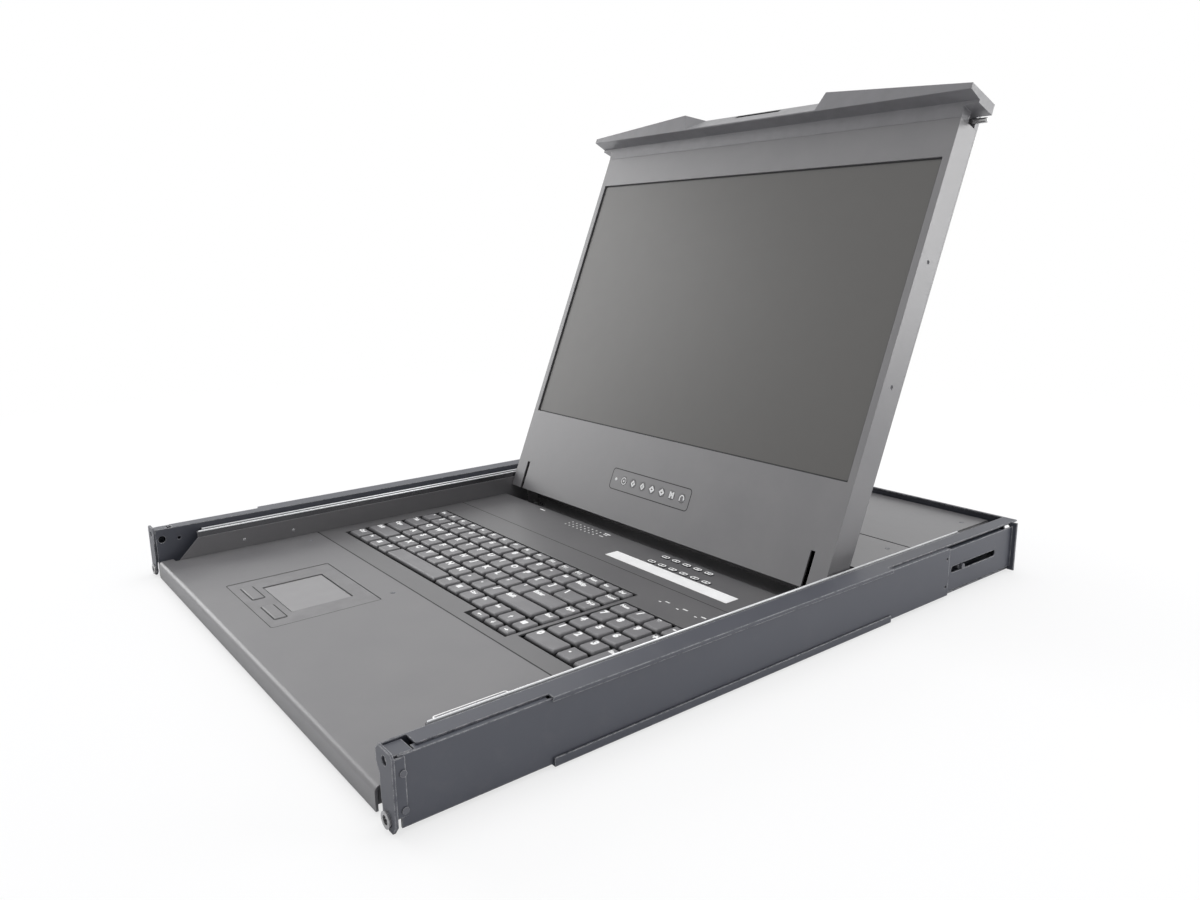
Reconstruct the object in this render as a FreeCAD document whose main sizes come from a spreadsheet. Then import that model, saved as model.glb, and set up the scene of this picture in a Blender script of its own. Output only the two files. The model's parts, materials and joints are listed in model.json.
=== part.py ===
import FreeCAD, Part
import Sketcher
import math
import os

# Rackmount console drawer: keyboard tray on ball slides with a fold-up display.
# Millimetres. +X to the user's right, +Y back into the rack, +Z up.
# Origin: centre of the four rack holes, on the front face of the ears.

# Independent sizes are numbers; a size that follows from others is a formula over their names.
SIZES = {
    # rack interface
    "rack_width": 482.6, "hole_margin": 8.75, "hole_span": "rack_width - 2*hole_margin",
    "hole_rise": 31.75, "ear_height": 44.0, "ear_sheet": 1.6, "rack_hole_radius": 2.6,
    "ear_reach": 17.9, "ear_leg": 7.6, "ear_roof_depth": 13.0, "bush_radius": 4.6,
    "bush_height": 1.6, "bush_wall": 0.6, "ear_waist": 3.0,
    # fixed side rails
    "side_gap": "rack_width - 2*ear_reach", "rail_sheet": 1.2, "rail_height": 41.6,
    "rail_end": 587.2, "flange_start": 16.0, "flange_reach": 12.0, "lip_start": 95.0,
    "lip_end": 402.0, "lip_top": 2.8, "lip_bottom": 5.2, "skin_outset": 15.6, "skin_height": 39.0,
    "skin_front": 4.5, "skin_end": 479.0, "skin_flange": 6.0, "flange_break": 2.0,
    "fit_gap": 0.3, "catch_radius": 3.0, "dimple_radius": 1.4, "rivet_radius": 1.0,
    "rivet_rise": 10.0, "skin_hole_radius": 1.3, "skin_hole_rise": 11.6,
    # adjustable rear brackets
    "bracket_front": 428.0, "bracket_end": "rail_end - 9.6", "bracket_height": 35.0,
    "bracket_flange": 9.5, "bolt_room": 16.0, "slot_front": "bracket_end - 93.1",
    "slot_length": 66.0, "slot_height": 5.2, "lock_place": "slot_front + 15.5", "lock_radius": 1.4,
    "spacer_radius": 3.4,
    # slides
    "slide_front": 33.0, "slide_length": "rail_end - slide_front - 54.2", "slide_height": 34.0,
    "slide_centre": -1.4, "slide_room": 11.5, "slide_sheet": 1.1, "slide_spread": 1.1,
    "ball_room": 2.6, "ball_gap": 0.05, "ball_pitch": 16.0, "row_inset": 1.7, "cage_inset": 0.15,
    "cage_front": "slide_front + slide_length/2 - 83", "cage_length": 232.0, "cage_sheet": 0.5,
    # drawer
    "tray_top": -6.0, "tray_bottom": -20.2, "drawer_rear": "rail_end - 3.2", "drawer_sheet": 1.2,
    "drawer_half": "side_gap/2 - slide_room", "apron_half": "drawer_half + 5.6",
    "apron_front": 0.4, "apron_deep": 12.0, "wall_top": 11.0, "cover_sheet": 1.5,
    "apron_bend": 3.4, "seam_place": 139.4, "seam_gap": 0.8, "cover_gap": 0.2,
    "frame_end": "key_front + 5*key_pitch + function_deep + 28.4", "panel_end": "frame_end + 54",
    "deck_front_start": "hinge_place + 24", "deck_seam": "deck_front_start + 71.6",
    "deck_gap": 1.6, "deck_top": 15.5, "cross_window_half": "drawer_half - 15.9",
    # touchpad
    "pad_centre": -66.5, "pad_front": 28.2, "pad_wide": 106.0, "pad_deep": 84.0,
    "touch_wide": 62.0, "touch_deep": 47.0, "touch_front": 22.6, "click_wide": 29.6,
    "click_deep": 8.6, "click_front": 7.2, "click_spread": 24.2,
    # keyboard
    "key_pitch": "(2*drawer_half - key_room - pad_room - side_key - pad_gap)/19",
    "key_room": 18.9, "pad_room": 25.7, "pad_gap": 6.0, "key_gap": 1.4,
    "key_left": "key_room - drawer_half", "key_front": "seam_place + 21.2", "key_top": -4.9,
    "key_foot": -9.4, "key_taper": 1.9, "key_floor": -12.0, "side_key": 16.0,
    "function_deep": 13.0, "arrow_deep": 11.2,
    "pad_left": "key_left + 15*key_pitch + side_key + pad_gap", "numpad_front": "key_front - 3.2",
    "key_margin": 1.2, "key_stem": 2.4, "base_sheet": 2.0,
    # control panel
    "port_pitch": 13.0, "port_upper": "panel_end - 8", "port_lower": "port_upper - 16",
    "port_left": 56.8, "port_wide": 8.8, "port_deep": 4.6, "port_rise": 0.7, "port_gap": 0.25,
    "lock_light_left": 132.0, "lock_light_pitch": 19.2, "lock_light_place": "frame_end - 20",
    "lamp_pitch": 6.2, "lamp_radius": 0.9, "lamp_left": -78.5, "lamp_front": "panel_end - 16",
    "switch_left": "111.9 - drawer_half", "switch_right": "drawer_half - 26.9", "board_sheet": 1.6,
    # rear bay
    "board_left": "91.9 - drawer_half", "board_right": "drawer_half - 31.9",
    "board_front": "deck_front_start + 34", "board_rear": "drawer_rear - 14", "board_level": -12.0,
    "supply_left": "11.9 - drawer_half", "supply_wide": 70.0, "supply_deep": "board_rear - board_front - 20",
    "supply_tall": 28.0, "socket_first": "99.9 - drawer_half", "socket_pitch": 31.5,
    "socket_wide": 16.6, "socket_tall": 8.2, "socket_low": -9.2, "inlet_left": "28.3 - drawer_half",
    "inlet_wide": 27.2, "inlet_tall": 20.0, "inlet_low": -12.0, "inlet_wall": 1.6,
    # display
    "hinge_place": "panel_end + 22", "hinge_height": 7.6, "lid_tilt": 67.7,
    "lid_half": "drawer_half - 1.7", "lid_bottom": -9.5, "lid_top": 362.0, "lid_face": 11.1,
    "lid_back": -13.4, "lid_sheet": 1.6, "view_border": 6.1, "view_wide": "2*lid_half - 2*view_border",
    "view_bottom": 75.6, "view_head": 30.8, "view_tall": "lid_top - view_bottom - view_head",
    "glass_depth": 1.6, "module_depth": 10.0, "hinge_at": "lid_half - 18.2", "hinge_plate": 2.4,
    "hinge_slit": 4.2, "slit_top": 19.5, "hinge_eye": 6.0, "hinge_pin": 2.4, "hinge_barrel": 3.7,
    "menu_height": 28.7, "menu_first": -36.4, "menu_pitch": 13.3, "menu_radius": 4.0,
    "lid_screw_low": 153.6, "lid_screw_high": 252.2,
    # handle and latch
    "grip_half": "side_gap/2 - 0.8", "grip_peak": 87.0, "grip_top": "lid_top + 28.5",
    "grip_end_top": "lid_top + 17.2", "grip_front": 27.1, "grip_under": "lid_top + 11",
    "grip_shoulder": "lid_top + 8.6", "grip_back": -7.5, "ledge_half": 79.0,
    "ledge_low": "grip_under + 2.5", "ledge_slant": 17.0, "latch_radius": 2.0, "latch_set": 4.0,
    "latch_line": "lid_top + 3.5", "latch_out": "side_gap/2 - 0.5", "latch_long": 36.9,
    "latch_in": "latch_out - latch_long", "release_half": 22.6, "release_tall": 2.8,
    "release_line": "grip_top - 3.2",
}

doc = FreeCAD.newDocument("console_drawer")
sheet = doc.addObject("Spreadsheet::Sheet", "Sizes")
for row, alias in enumerate(SIZES, start=1):
    sheet.set(f"A{row}", alias)
    sheet.setAlias(f"B{row}", alias)
for row, entry in enumerate(SIZES.values(), start=1):
    sheet.set(f"B{row}", f"={entry}")
doc.recompute()

X, Y, Z = FreeCAD.Vector(1, 0, 0), FreeCAD.Vector(0, 1, 0), FreeCAD.Vector(0, 0, 1)
ORIGIN = FreeCAD.Vector(0, 0, 0)
NODES = []


def size(name):
    """Value of one sheet cell."""
    return float(sheet.get(name))


def expr(text):
    """Prefix every sheet alias in a formula with the sheet's name."""
    out, word = "", ""
    for mark in str(text) + " ":
        if mark.isalnum() or mark == "_":
            word += mark
            continue
        out += f"Sizes.{word}" if word in SIZES else word
        out += mark
        word = ""
    return out.strip()


def value(text):
    """Number that a formula over the sheet gives now."""
    total = 0.0
    for term in str(text).replace("-", "+-").split("+"):
        term = term.strip()
        if not term:
            continue
        sign = -1.0 if term.startswith("-") else 1.0
        product = 1.0
        for factor in term.lstrip("-").split("*"):
            top, *under = [part.strip() for part in factor.split("/")]
            product *= size(top) if top in SIZES else float(top)
            for low in under:
                product /= size(low) if low in SIZES else float(low)
        total += sign * product
    return total


def node(item, label):
    """Mark an object as one exported sub-part."""
    item.Label = label
    NODES.append(item)
    return item


def place(item, x="0", y="0", z="0"):
    """Bind an object's position to formulas."""
    for axis, text in zip("xyz", (x, y, z)):
        item.setExpression(f"Placement.Base.{axis}", expr(text))
    return item


def box(x, y, z, wide, deep, tall):
    """Block from its low corner, every number a formula."""
    item = doc.addObject("Part::Box", "Block")
    item.setExpression("Length", expr(wide))
    item.setExpression("Width", expr(deep))
    item.setExpression("Height", expr(tall))
    return place(item, x, y, z)


def rod(axis, x, y, z, radius, length):
    """Cylinder along an axis from its start point."""
    item = doc.addObject("Part::Cylinder", "Rod")
    item.setExpression("Radius", expr(radius))
    item.setExpression("Height", expr(length))
    item.Placement = FreeCAD.Placement(ORIGIN, FreeCAD.Rotation(Z, axis))
    return place(item, x, y, z)


def cut(base, *tools):
    """Base less one or more tools."""
    item = doc.addObject("Part::Cut", "Less")
    item.Base = base
    item.Tool = tools[0] if len(tools) == 1 else fuse(*tools)
    return item


def fuse(*parts):
    """Union of several shapes."""
    item = doc.addObject("Part::MultiFuse", "Joined")
    item.Shapes = list(parts)
    return item


def group(*parts):
    """Several separate solids kept as one node."""
    item = doc.addObject("Part::Compound", "Set")
    item.Links = list(parts)
    return item


def common(one, other):
    """Overlap of two shapes."""
    item = doc.addObject("Part::Common", "Overlap")
    item.Base = one
    item.Tool = other
    return item


def mirror(item):
    """The same piece on the left side."""
    twin = doc.addObject("Part::Mirroring", "Twin")
    twin.Source = item
    twin.Normal = X
    return twin


def outline(role, corners, length, back=False):
    """Body padded from a closed outline on one origin plane, corners as formulas."""
    body = doc.addObject("PartDesign::Body", "Body")
    plane = [f for f in body.Origin.OriginFeatures if f.Role == role][0]
    sketch = body.newObject("Sketcher::SketchObject", "Outline")
    sketch.AttachmentSupport = [(plane, "")]
    sketch.MapMode = "FlatFace"
    points = [FreeCAD.Vector(value(a), value(b), 0) for a, b in corners]
    for start, end in zip(points, points[1:] + points[:1]):
        sketch.addGeometry(Part.LineSegment(start, end), False)
    for at in range(len(points)):
        sketch.addConstraint(Sketcher.Constraint("Coincident", at, 2, (at + 1) % len(points), 1))
    for at, (pair, point) in enumerate(zip(corners, points)):
        for kind, text, number in zip(("DistanceX", "DistanceY"), pair, (point.x, point.y)):
            rule = sketch.addConstraint(Sketcher.Constraint(kind, -1, 1, at, 1, number))
            sketch.setExpression(f"Constraints[{rule}]", expr(text))
    pad = body.newObject("PartDesign::Pad", "Pad")
    pad.Profile = sketch
    pad.Reversed = back
    pad.setExpression("Length", expr(length))
    return body


def along_y(corners, start, length):
    """Outline in X and Z, padded back along +Y from `start`."""
    return place(outline("XZ_Plane", corners, length, back=True), "0", start, "0")


def along_x(corners, start, length):
    """Outline in Y and Z, padded to the right from `start`."""
    return place(outline("YZ_Plane", corners, length), start, "0", "0")


def on_lid(item):
    """Carry a piece drawn flat in the lid's own frame to the hinge, at the rest tilt."""
    item.Placement = FreeCAD.Placement(ORIGIN, FreeCAD.Rotation(X, size("lid_tilt")))
    item.setExpression("Placement.Rotation.Angle", expr("lid_tilt * 1 deg"))
    return place(item, "0", "hinge_place", "hinge_height")


def fixed_shape(shape):
    """Feature whose shape is built in code from the sheet's sizes."""
    item = doc.addObject("Part::Feature", "Made")
    item.Shape = shape
    return item


def pair(item, label):
    """One node on the right and its mirror on the left."""
    node(item, f"{label}_right")
    node(mirror(item), f"{label}_left")
    return item


# ---------------------------------------------------------------- fixed rails

RIVET_Y = "skin_front + 1.6"
RIVET_ROWS = ("rivet_rise + 0.4", "0.4 - rivet_rise")
WEB_IN = "side_gap/2"
WEB_OUT = "side_gap/2 + rail_sheet"
SKIN_IN = "side_gap/2 + skin_outset - rail_sheet"


def rail_channel():
    """Side channel: web, outward flanges, and lips that hold the skin plate."""
    web = box(WEB_IN, "ear_sheet", "-rail_height/2", "rail_sheet", "rail_end - ear_sheet", "rail_height")
    parts = [web]
    for low in ("rail_height/2 - rail_sheet", "-rail_height/2"):
        reach = "flange_reach"
        parts.append(box(WEB_IN, "flange_start", low, reach, "rail_end - flange_start", "rail_sheet"))
        wide = "skin_outset + fit_gap + rail_sheet"
        parts.append(box(WEB_IN, "lip_start", low, wide, "lip_end - lip_start", "rail_sheet"))
    lip_x = "side_gap/2 + skin_outset + fit_gap"
    parts.append(box(lip_x, "lip_start", "rail_height/2 - lip_top", "rail_sheet",
                     "lip_end - lip_start", "lip_top"))
    parts.append(box(lip_x, "lip_start", "-rail_height/2", "rail_sheet",
                     "lip_end - lip_start", "lip_bottom"))
    catch_y = "hinge_place - latch_line"
    catch = rod(X, "side_gap/2 - 1", catch_y, "hinge_height + latch_set", "catch_radius", "rail_sheet + 2")
    dimple = rod(X, "side_gap/2 - 1", f"{catch_y} + 14", "hinge_height + 3", "dimple_radius",
                 "rail_sheet + 2")
    lock = rod(X, "side_gap/2 - 1", "lock_place", "0", "lock_radius + 0.1", "rail_sheet + 2")
    return cut(fuse(*parts), catch, dimple, lock)


def front_ear():
    """Front bracket: rack flange with its two fastener places, outer leg and roof."""
    outer = "rack_width/2"
    corners = [
        (WEB_IN, "ear_height/2 - 3"), ("side_gap/2 + 3", "ear_height/2"),
        ("rack_width/2 - 2.5", "ear_height/2"), (outer, "ear_height/2 - 2"),
        (outer, "-hole_rise/2 - 1"), ("rack_width/2 - 4", "-ear_height/2"),
        ("rack_width/2 - 8", "-ear_height/2"), ("side_gap/2 + 4", "-hole_rise/2 - 2"),
        ("side_gap/2 + 4", "-hole_rise/2 + 4"), ("side_gap/2 + ear_waist", "-hole_rise/2 + 9"),
        ("side_gap/2 + ear_waist", "hole_rise/2 - 9"), (WEB_IN, "hole_rise/2 - 4"),
    ]
    flange = along_y(corners, "0", "ear_sheet")
    leg = box("side_gap/2 + skin_outset + fit_gap/4", "0", "-13", "rail_sheet", "ear_leg", "32")
    roof = box("side_gap/2 + rail_sheet + 0.6", "ear_sheet/2", "rail_height/2 - 2*rail_sheet",
               "skin_outset - 2*rail_sheet - 0.9", "ear_roof_depth - ear_sheet/2", "rail_sheet")
    rivet_holes = [rod(X, "side_gap/2 + skin_outset - 1", RIVET_Y, z, "rivet_radius + 0.1", "5")
                   for z in RIVET_ROWS]
    top = rod(Y, "hole_span/2", "-1", "hole_rise/2", "rack_hole_radius", "ear_sheet + 2")
    low = rod(Y, "hole_span/2", "-1", "-hole_rise/2", "rack_hole_radius + bush_wall + 0.1", "ear_sheet + 2")
    return cut(fuse(flange, leg, roof), top, low, *rivet_holes)


def rack_bush():
    """Collar pressed into the lower rack hole: rim ahead of the flange, open through the middle."""
    low = "-hole_rise/2"
    rim = rod(Y, "hole_span/2", "-bush_height", low, "bush_radius", "bush_height")
    collar = rod(Y, "hole_span/2", "-bush_height", low, "rack_hole_radius + bush_wall",
                 "bush_height + ear_sheet")
    bore = rod(Y, "hole_span/2", "-bush_height - 1", low, "rack_hole_radius", "bush_height + ear_sheet + 2")
    return cut(fuse(rim, collar), bore)


def skin_plate():
    """Long outer rail plate behind the ear, with a turned-in flange before and after the channel's lips."""
    plate = box(SKIN_IN, "skin_front", "-skin_height/2", "rail_sheet", "skin_end - skin_front", "skin_height")
    flanges = [box("side_gap/2 + skin_outset - skin_flange", start, "skin_height/2 - rail_sheet",
                   "skin_flange", f"{end} - ({start})", "rail_sheet")
               for start, end in (("ear_roof_depth + 1", "lip_start - flange_break"),
                                  ("lip_end + flange_break", "skin_end"))]
    holes = [rod(X, "side_gap/2 + skin_outset - 3", "skin_end - 3.4", z, "skin_hole_radius", "5")
             for z in ("skin_hole_rise", "-skin_hole_rise")]
    rivet_holes = [rod(X, "side_gap/2 + skin_outset - 3", RIVET_Y, z, "rivet_radius + 0.1", "5")
                   for z in RIVET_ROWS]
    return cut(fuse(plate, *flanges), *holes, *rivet_holes)


def skin_rivets():
    """Rivets through the ear leg and skin plate, both sides."""
    made = []
    for z in RIVET_ROWS:
        shank = rod(X, "side_gap/2 + skin_outset - 1.6", RIVET_Y, z, "rivet_radius", "3.2")
        head = rod(X, "side_gap/2 + skin_outset + fit_gap/4 + rail_sheet", RIVET_Y, z,
                   "1.9*rivet_radius", "0.6")
        made.append(fuse(shank, head))
    return made


def rear_cross_wall():
    """Rear strip that ties the two channels, open in the middle for the cables."""
    wall = box("-side_gap/2", "rail_end - rail_sheet", "-rail_height/2", "side_gap", "rail_sheet", "rail_height")
    shelf = box("-side_gap/2", "drawer_rear + 0.8", "rail_height/2 - rail_sheet", "side_gap",
                "rail_end - drawer_rear - 0.8", "rail_sheet")
    window = box("-cross_window_half", "rail_end - 5", "-rail_height/2 + 4", "2*cross_window_half", "10",
                 "rail_height - 13")
    return cut(fuse(wall, shelf), window)


def rear_bracket():
    """Depth bracket: slotted plate, inward flanges and the rear rack flange."""
    plate_in = "side_gap/2 + skin_outset - 2*rail_sheet - fit_gap"
    plate = box(plate_in, "bracket_front", "-bracket_height/2", "rail_sheet",
                "bracket_end - bracket_front", "bracket_height")
    top = box("side_gap/2 + skin_outset - rail_sheet - fit_gap - bracket_flange", "slot_front - 1",
              "bracket_height/2 - rail_sheet", "bracket_flange",
              "bracket_end - bolt_room - slot_front + 1", "rail_sheet")
    foot = box("side_gap/2 + skin_outset - rail_sheet - fit_gap - bracket_flange", "slot_front - 1",
               "-bracket_height/2", "bracket_flange", "bracket_end - bolt_room - slot_front + 1", "rail_sheet")
    inner_ear = box("side_gap/2 + rail_sheet + fit_gap", "bracket_end - ear_sheet",
                    "-rail_height/2 + rail_sheet + fit_gap", "flange_reach", "ear_sheet",
                    "rail_height - 2*rail_sheet - 2*fit_gap")
    outer_ear = box("side_gap/2 + flange_reach + fit_gap", "bracket_end - ear_sheet", "-ear_height/2 + 1",
                    "rack_width/2 - side_gap/2 - flange_reach - fit_gap", "ear_sheet", "ear_height - 2")
    slot = box("side_gap/2 + skin_outset - 6", "slot_front + slot_height/2", "-slot_height/2", "8",
               "slot_length - slot_height", "slot_height")
    rounds = [rod(X, "side_gap/2 + skin_outset - 6", y, "0", "slot_height/2", "8")
              for y in ("slot_front + slot_height/2", "slot_front + slot_length - slot_height/2")]
    holes = [rod(Y, "hole_span/2", "bracket_end - 4", z, "rack_hole_radius", "8")
             for z in ("hole_rise/2", "-hole_rise/2")]
    return cut(fuse(plate, top, foot, inner_ear, outer_ear), slot, *rounds, *holes)


def lock_screw():
    """Lock screw from the channel's web out through the bracket's slot."""
    shank = rod(X, "side_gap/2 + 0.1", "lock_place", "0", "lock_radius", "skin_outset - rail_sheet")
    spacer = rod(X, WEB_OUT, "lock_place", "0", "spacer_radius", "skin_outset - 3*rail_sheet - 2*fit_gap")
    neck = rod(X, WEB_OUT, "lock_place", "0", "slot_height/2 - 0.4", "skin_outset - rail_sheet")
    return fuse(shank, spacer, neck)


ear = pair(front_ear(), "front_ear")
pair(rail_channel(), "rail_channel")
pair(skin_plate(), "outer_rail")
node(rear_cross_wall(), "rear_cross_wall")
bush = rack_bush()
node(group(bush, mirror(bush)), "rack_bushes")
fixings = [lock_screw(), *skin_rivets()]
node(group(*fixings, *[mirror(fixing) for fixing in fixings]), "rail_fixings")
pair(rear_bracket(), "rear_bracket")

# ---------------------------------------------------------------- ball slides
# Two equal C sections face each other with an H section between them, on four rows of balls.

SLIDE_MID = "side_gap/4 + drawer_half/2"
SLIDE_LOW = "slide_centre - slide_height/2"
SLIDE_TOP = "slide_centre + slide_height/2"
BEAM_LOW = "slide_centre - slide_height/2 + slide_sheet + ball_room"
BEAM_TOP = "slide_centre + slide_height/2 - slide_sheet - ball_room"


def channel_member(back, step, tip, start):
    """C section with its web at `back`, thickened by `step`, lips out to `tip`."""
    corners = [
        (back, SLIDE_LOW), (tip, SLIDE_LOW), (tip, f"{SLIDE_LOW} + slide_sheet"),
        (f"{back} {step}", f"{SLIDE_LOW} + slide_sheet"), (f"{back} {step}", f"{SLIDE_TOP} - slide_sheet"),
        (tip, f"{SLIDE_TOP} - slide_sheet"), (tip, SLIDE_TOP), (back, SLIDE_TOP),
    ]
    return along_y(corners, start, "slide_length")


def beam_member():
    """H section that runs between the two C sections."""
    wide = "side_gap/2 - drawer_half - 2*slide_sheet - 4*cage_sheet"
    left = "drawer_half + slide_sheet + 2*cage_sheet"
    start = "slide_front + 3"
    parts = [box(left, start, low, wide, "slide_length", "slide_sheet")
             for low in (BEAM_LOW, f"{BEAM_TOP} - slide_sheet")]
    web = box(f"{SLIDE_MID} - slide_spread/2", start, BEAM_LOW, "slide_spread", "slide_length",
              "slide_height - 2*slide_sheet - 2*ball_room")
    return fuse(*parts, web)


def ball_cage(web, ball_x):
    """Strip cage in a C with its two rows of balls, built around the raceway height."""
    sheet_thick, room = size("cage_sheet"), size("ball_room")
    radius = room / 2 - size("ball_gap")
    front, length = size("cage_front"), size("cage_length")
    low = value(SLIDE_LOW) + size("slide_sheet") + room / 2
    top = value(SLIDE_TOP) - size("slide_sheet") - room / 2
    web_x, row_x = value(web), value(ball_x)
    reach = 2 * (row_x - web_x) - (sheet_thick if row_x > web_x else -sheet_thick)
    strip_left = min(web_x, web_x + reach)
    strips = [Part.makeBox(abs(reach), length, sheet_thick,
                           FreeCAD.Vector(strip_left, front, z - sheet_thick / 2)) for z in (low, top)]
    back = Part.makeBox(sheet_thick, length, top - low, FreeCAD.Vector(min(web_x, web_x + math.copysign(
        sheet_thick, reach)), front, low))
    cage = strips[0].fuse([strips[1], back]).removeSplitter()
    balls = []
    pitch = size("ball_pitch")
    for z in (low, top):
        for at in range(int((length - pitch) // pitch) + 1):
            centre = FreeCAD.Vector(row_x, front + pitch / 2 + at * pitch, z)
            pocket = Part.makeCylinder(radius + 0.1, room, centre - Z * (room / 2))
            cage = cage.cut(pocket)
            balls.append(Part.makeSphere(radius, centre))
    return fixed_shape(Part.makeCompound([cage] + balls))


INNER_ROW = "drawer_half + slide_sheet + cage_sheet + row_inset"
OUTER_ROW = "side_gap/2 - slide_sheet - cage_sheet - row_inset"
pair(channel_member("side_gap/2", "- slide_sheet", f"{SLIDE_MID} + slide_spread/2", "slide_front + 5"),
     "slide_outer")
pair(channel_member("drawer_half", "+ slide_sheet", f"{SLIDE_MID} - slide_spread/2", "slide_front"),
     "slide_inner")
pair(beam_member(), "slide_middle")
pair(ball_cage("side_gap/2 - slide_sheet - cage_inset", OUTER_ROW), "ball_cage_outer")
pair(ball_cage("drawer_half + slide_sheet + cage_inset", INNER_ROW), "ball_cage_inner")

# ---------------------------------------------------------------- drawer

FLOOR_UNDER = "tray_bottom"
FLOOR = "tray_bottom + drawer_sheet"


def drawer_pan():
    """Sheet pan: floor, front wall, side walls cut down at the front, and the rear wall."""
    thick = "drawer_sheet"
    floor = box("-drawer_half", "apron_front + 2*cover_sheet", FLOOR_UNDER, "2*drawer_half",
                "drawer_rear - apron_front - 2*cover_sheet", thick)
    front = box("-drawer_half", "apron_front + 2*cover_sheet", FLOOR_UNDER, "2*drawer_half", thick,
                "tray_top - tray_bottom - cover_sheet - fit_gap")
    side = [("apron_front + apron_bend + 1", FLOOR_UNDER), ("drawer_rear", FLOOR_UNDER),
            ("drawer_rear", "deck_top - drawer_sheet"), ("deck_front_start", "deck_top - drawer_sheet"),
            ("deck_front_start - 4", "wall_top"), ("slide_front", "wall_top"),
            ("slide_front - 18", "tray_top - cover_sheet"),
            ("apron_front + apron_bend + 1", "tray_top - cover_sheet")]
    walls = [along_x(side, "drawer_half - drawer_sheet", thick), along_x(side, "-drawer_half", thick)]
    rear = box("-drawer_half", "drawer_rear - drawer_sheet", FLOOR_UNDER, "2*drawer_half", thick,
               "deck_top - tray_bottom - drawer_sheet")
    inlet = box("inlet_left - 0.2", "drawer_rear - 5", "inlet_low - 0.2", "inlet_wide + 0.4", "10",
                "inlet_tall + 0.4")
    ports = [box(f"socket_first + {at}*socket_pitch - socket_wide/2 - 0.1", "drawer_rear - 5",
                 "socket_low - 0.1", "socket_wide + 0.2", "10", "socket_tall + 0.2") for at in range(8)]
    step = "board_right/15 - board_left/15"
    vents = [box(f"board_left + {at}*({step})", "drawer_rear - 5", "6", step + " - 10", "10", "2")
             for at in range(16)]
    return cut(fuse(floor, front, *walls, rear), inlet, *ports, *vents)


PAD_LEFT = "pad_centre - pad_wide/2"


def palm_rest():
    """Palm-rest sheet with its rolled front edge and apron, open for the touchpad."""
    deep = "seam_place - seam_gap/2 - apron_front - apron_bend"
    top = box("-drawer_half + drawer_sheet + cover_gap", "apron_front + apron_bend", "tray_top - cover_sheet",
              "2*drawer_half - 2*drawer_sheet - 2*cover_gap", deep, "cover_sheet")
    wing = box("-apron_half", "apron_front + apron_bend", "tray_top - cover_sheet", "2*apron_half",
               "apron_deep - apron_bend", "cover_sheet")
    apron = box("-apron_half", "apron_front", "tray_bottom", "2*apron_half", "cover_sheet",
                "tray_top - tray_bottom - apron_bend")
    bend = rod(X, "-apron_half", "apron_front + apron_bend", "tray_top - apron_bend", "apron_bend",
               "2*apron_half")
    hollow = rod(X, "-apron_half - 1", "apron_front + apron_bend", "tray_top - apron_bend",
                 "apron_bend - cover_sheet", "2*apron_half + 2")
    rear_half = box("-apron_half - 1", "apron_front + apron_bend", "tray_top - 3*apron_bend",
                    "2*apron_half + 2", "3*apron_bend", "4*apron_bend")
    low_half = box("-apron_half - 1", "apron_front - 1", "tray_top - 4*apron_bend", "2*apron_half + 2",
                   "3*apron_bend", "3*apron_bend")
    roll = cut(bend, hollow, rear_half, low_half)
    window = box(f"{PAD_LEFT} - 0.2", "pad_front - 0.2", "tray_top - 5", "pad_wide + 0.4", "pad_deep + 0.4", "8")
    return cut(fuse(top, wing, apron, roll), window)


def touchpad_frame():
    """Touchpad surround, set in the palm rest, with a sunk touch field and two button wells."""
    plate = box(PAD_LEFT, "pad_front", "tray_top - 3", "pad_wide", "pad_deep", "2.8")
    field = box("pad_centre - touch_wide/2 - 1", "pad_front + touch_front - 1", "tray_top - 1.8",
                "touch_wide + 2", "touch_deep + 2", "4")
    wells = [box(f"pad_centre {sign} click_spread - click_wide/2 - 0.4", "pad_front + click_front - 0.4",
                 "tray_top - 5", "click_wide + 0.8", "click_deep + 0.8", "8") for sign in "-+"]
    return cut(plate, field, *wells)


def touchpad_sensor():
    """Touch surface lying in the sunk field."""
    return box("pad_centre - touch_wide/2", "pad_front + touch_front", "tray_top - 1.8", "touch_wide",
               "touch_deep", "1")


def click_button(sign):
    """One touchpad button, standing just proud of its well."""
    cap = box(f"pad_centre {sign} click_spread - click_wide/2", "pad_front + click_front",
              "tray_top - 2.4", "click_wide", "click_deep", "2.9")
    stem = box(f"pad_centre {sign} click_spread - 2", "pad_front + click_front + 2.6", "tray_top - 5",
               "4", "3.4", "3")
    return fuse(cap, stem)


KEY_REAR = "key_front + 5*key_pitch + function_deep"
MAIN_RIGHT = "key_left + 15*key_pitch + side_key"


def keyboard_frame():
    """Cover sheet behind the seam, open for the two key fields."""
    sheet_box = box("-drawer_half + drawer_sheet + cover_gap", "seam_place + seam_gap/2", "tray_top - cover_sheet",
                    "2*drawer_half - 2*drawer_sheet - 2*cover_gap", "frame_end - seam_place - seam_gap/2",
                    "cover_sheet")
    main = box("key_left - key_margin", "key_front - key_margin", "tray_top - 4",
               "15*key_pitch + side_key + 2*key_margin", "5*key_pitch + function_deep + 2*key_margin", "8")
    arrows = box("key_left + 13*key_pitch - 2*key_margin", "key_front - arrow_deep - key_margin",
                 "tray_top - 4", "2*key_pitch + side_key + 3*key_margin", "arrow_deep + 2*key_margin", "8")
    numbers = box("pad_left - key_margin", "numpad_front - key_margin", "tray_top - 4",
                  "4*key_pitch + 2*key_margin", "5*key_pitch + 2*key_margin", "8")
    return cut(sheet_box, main, arrows, numbers)


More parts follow.
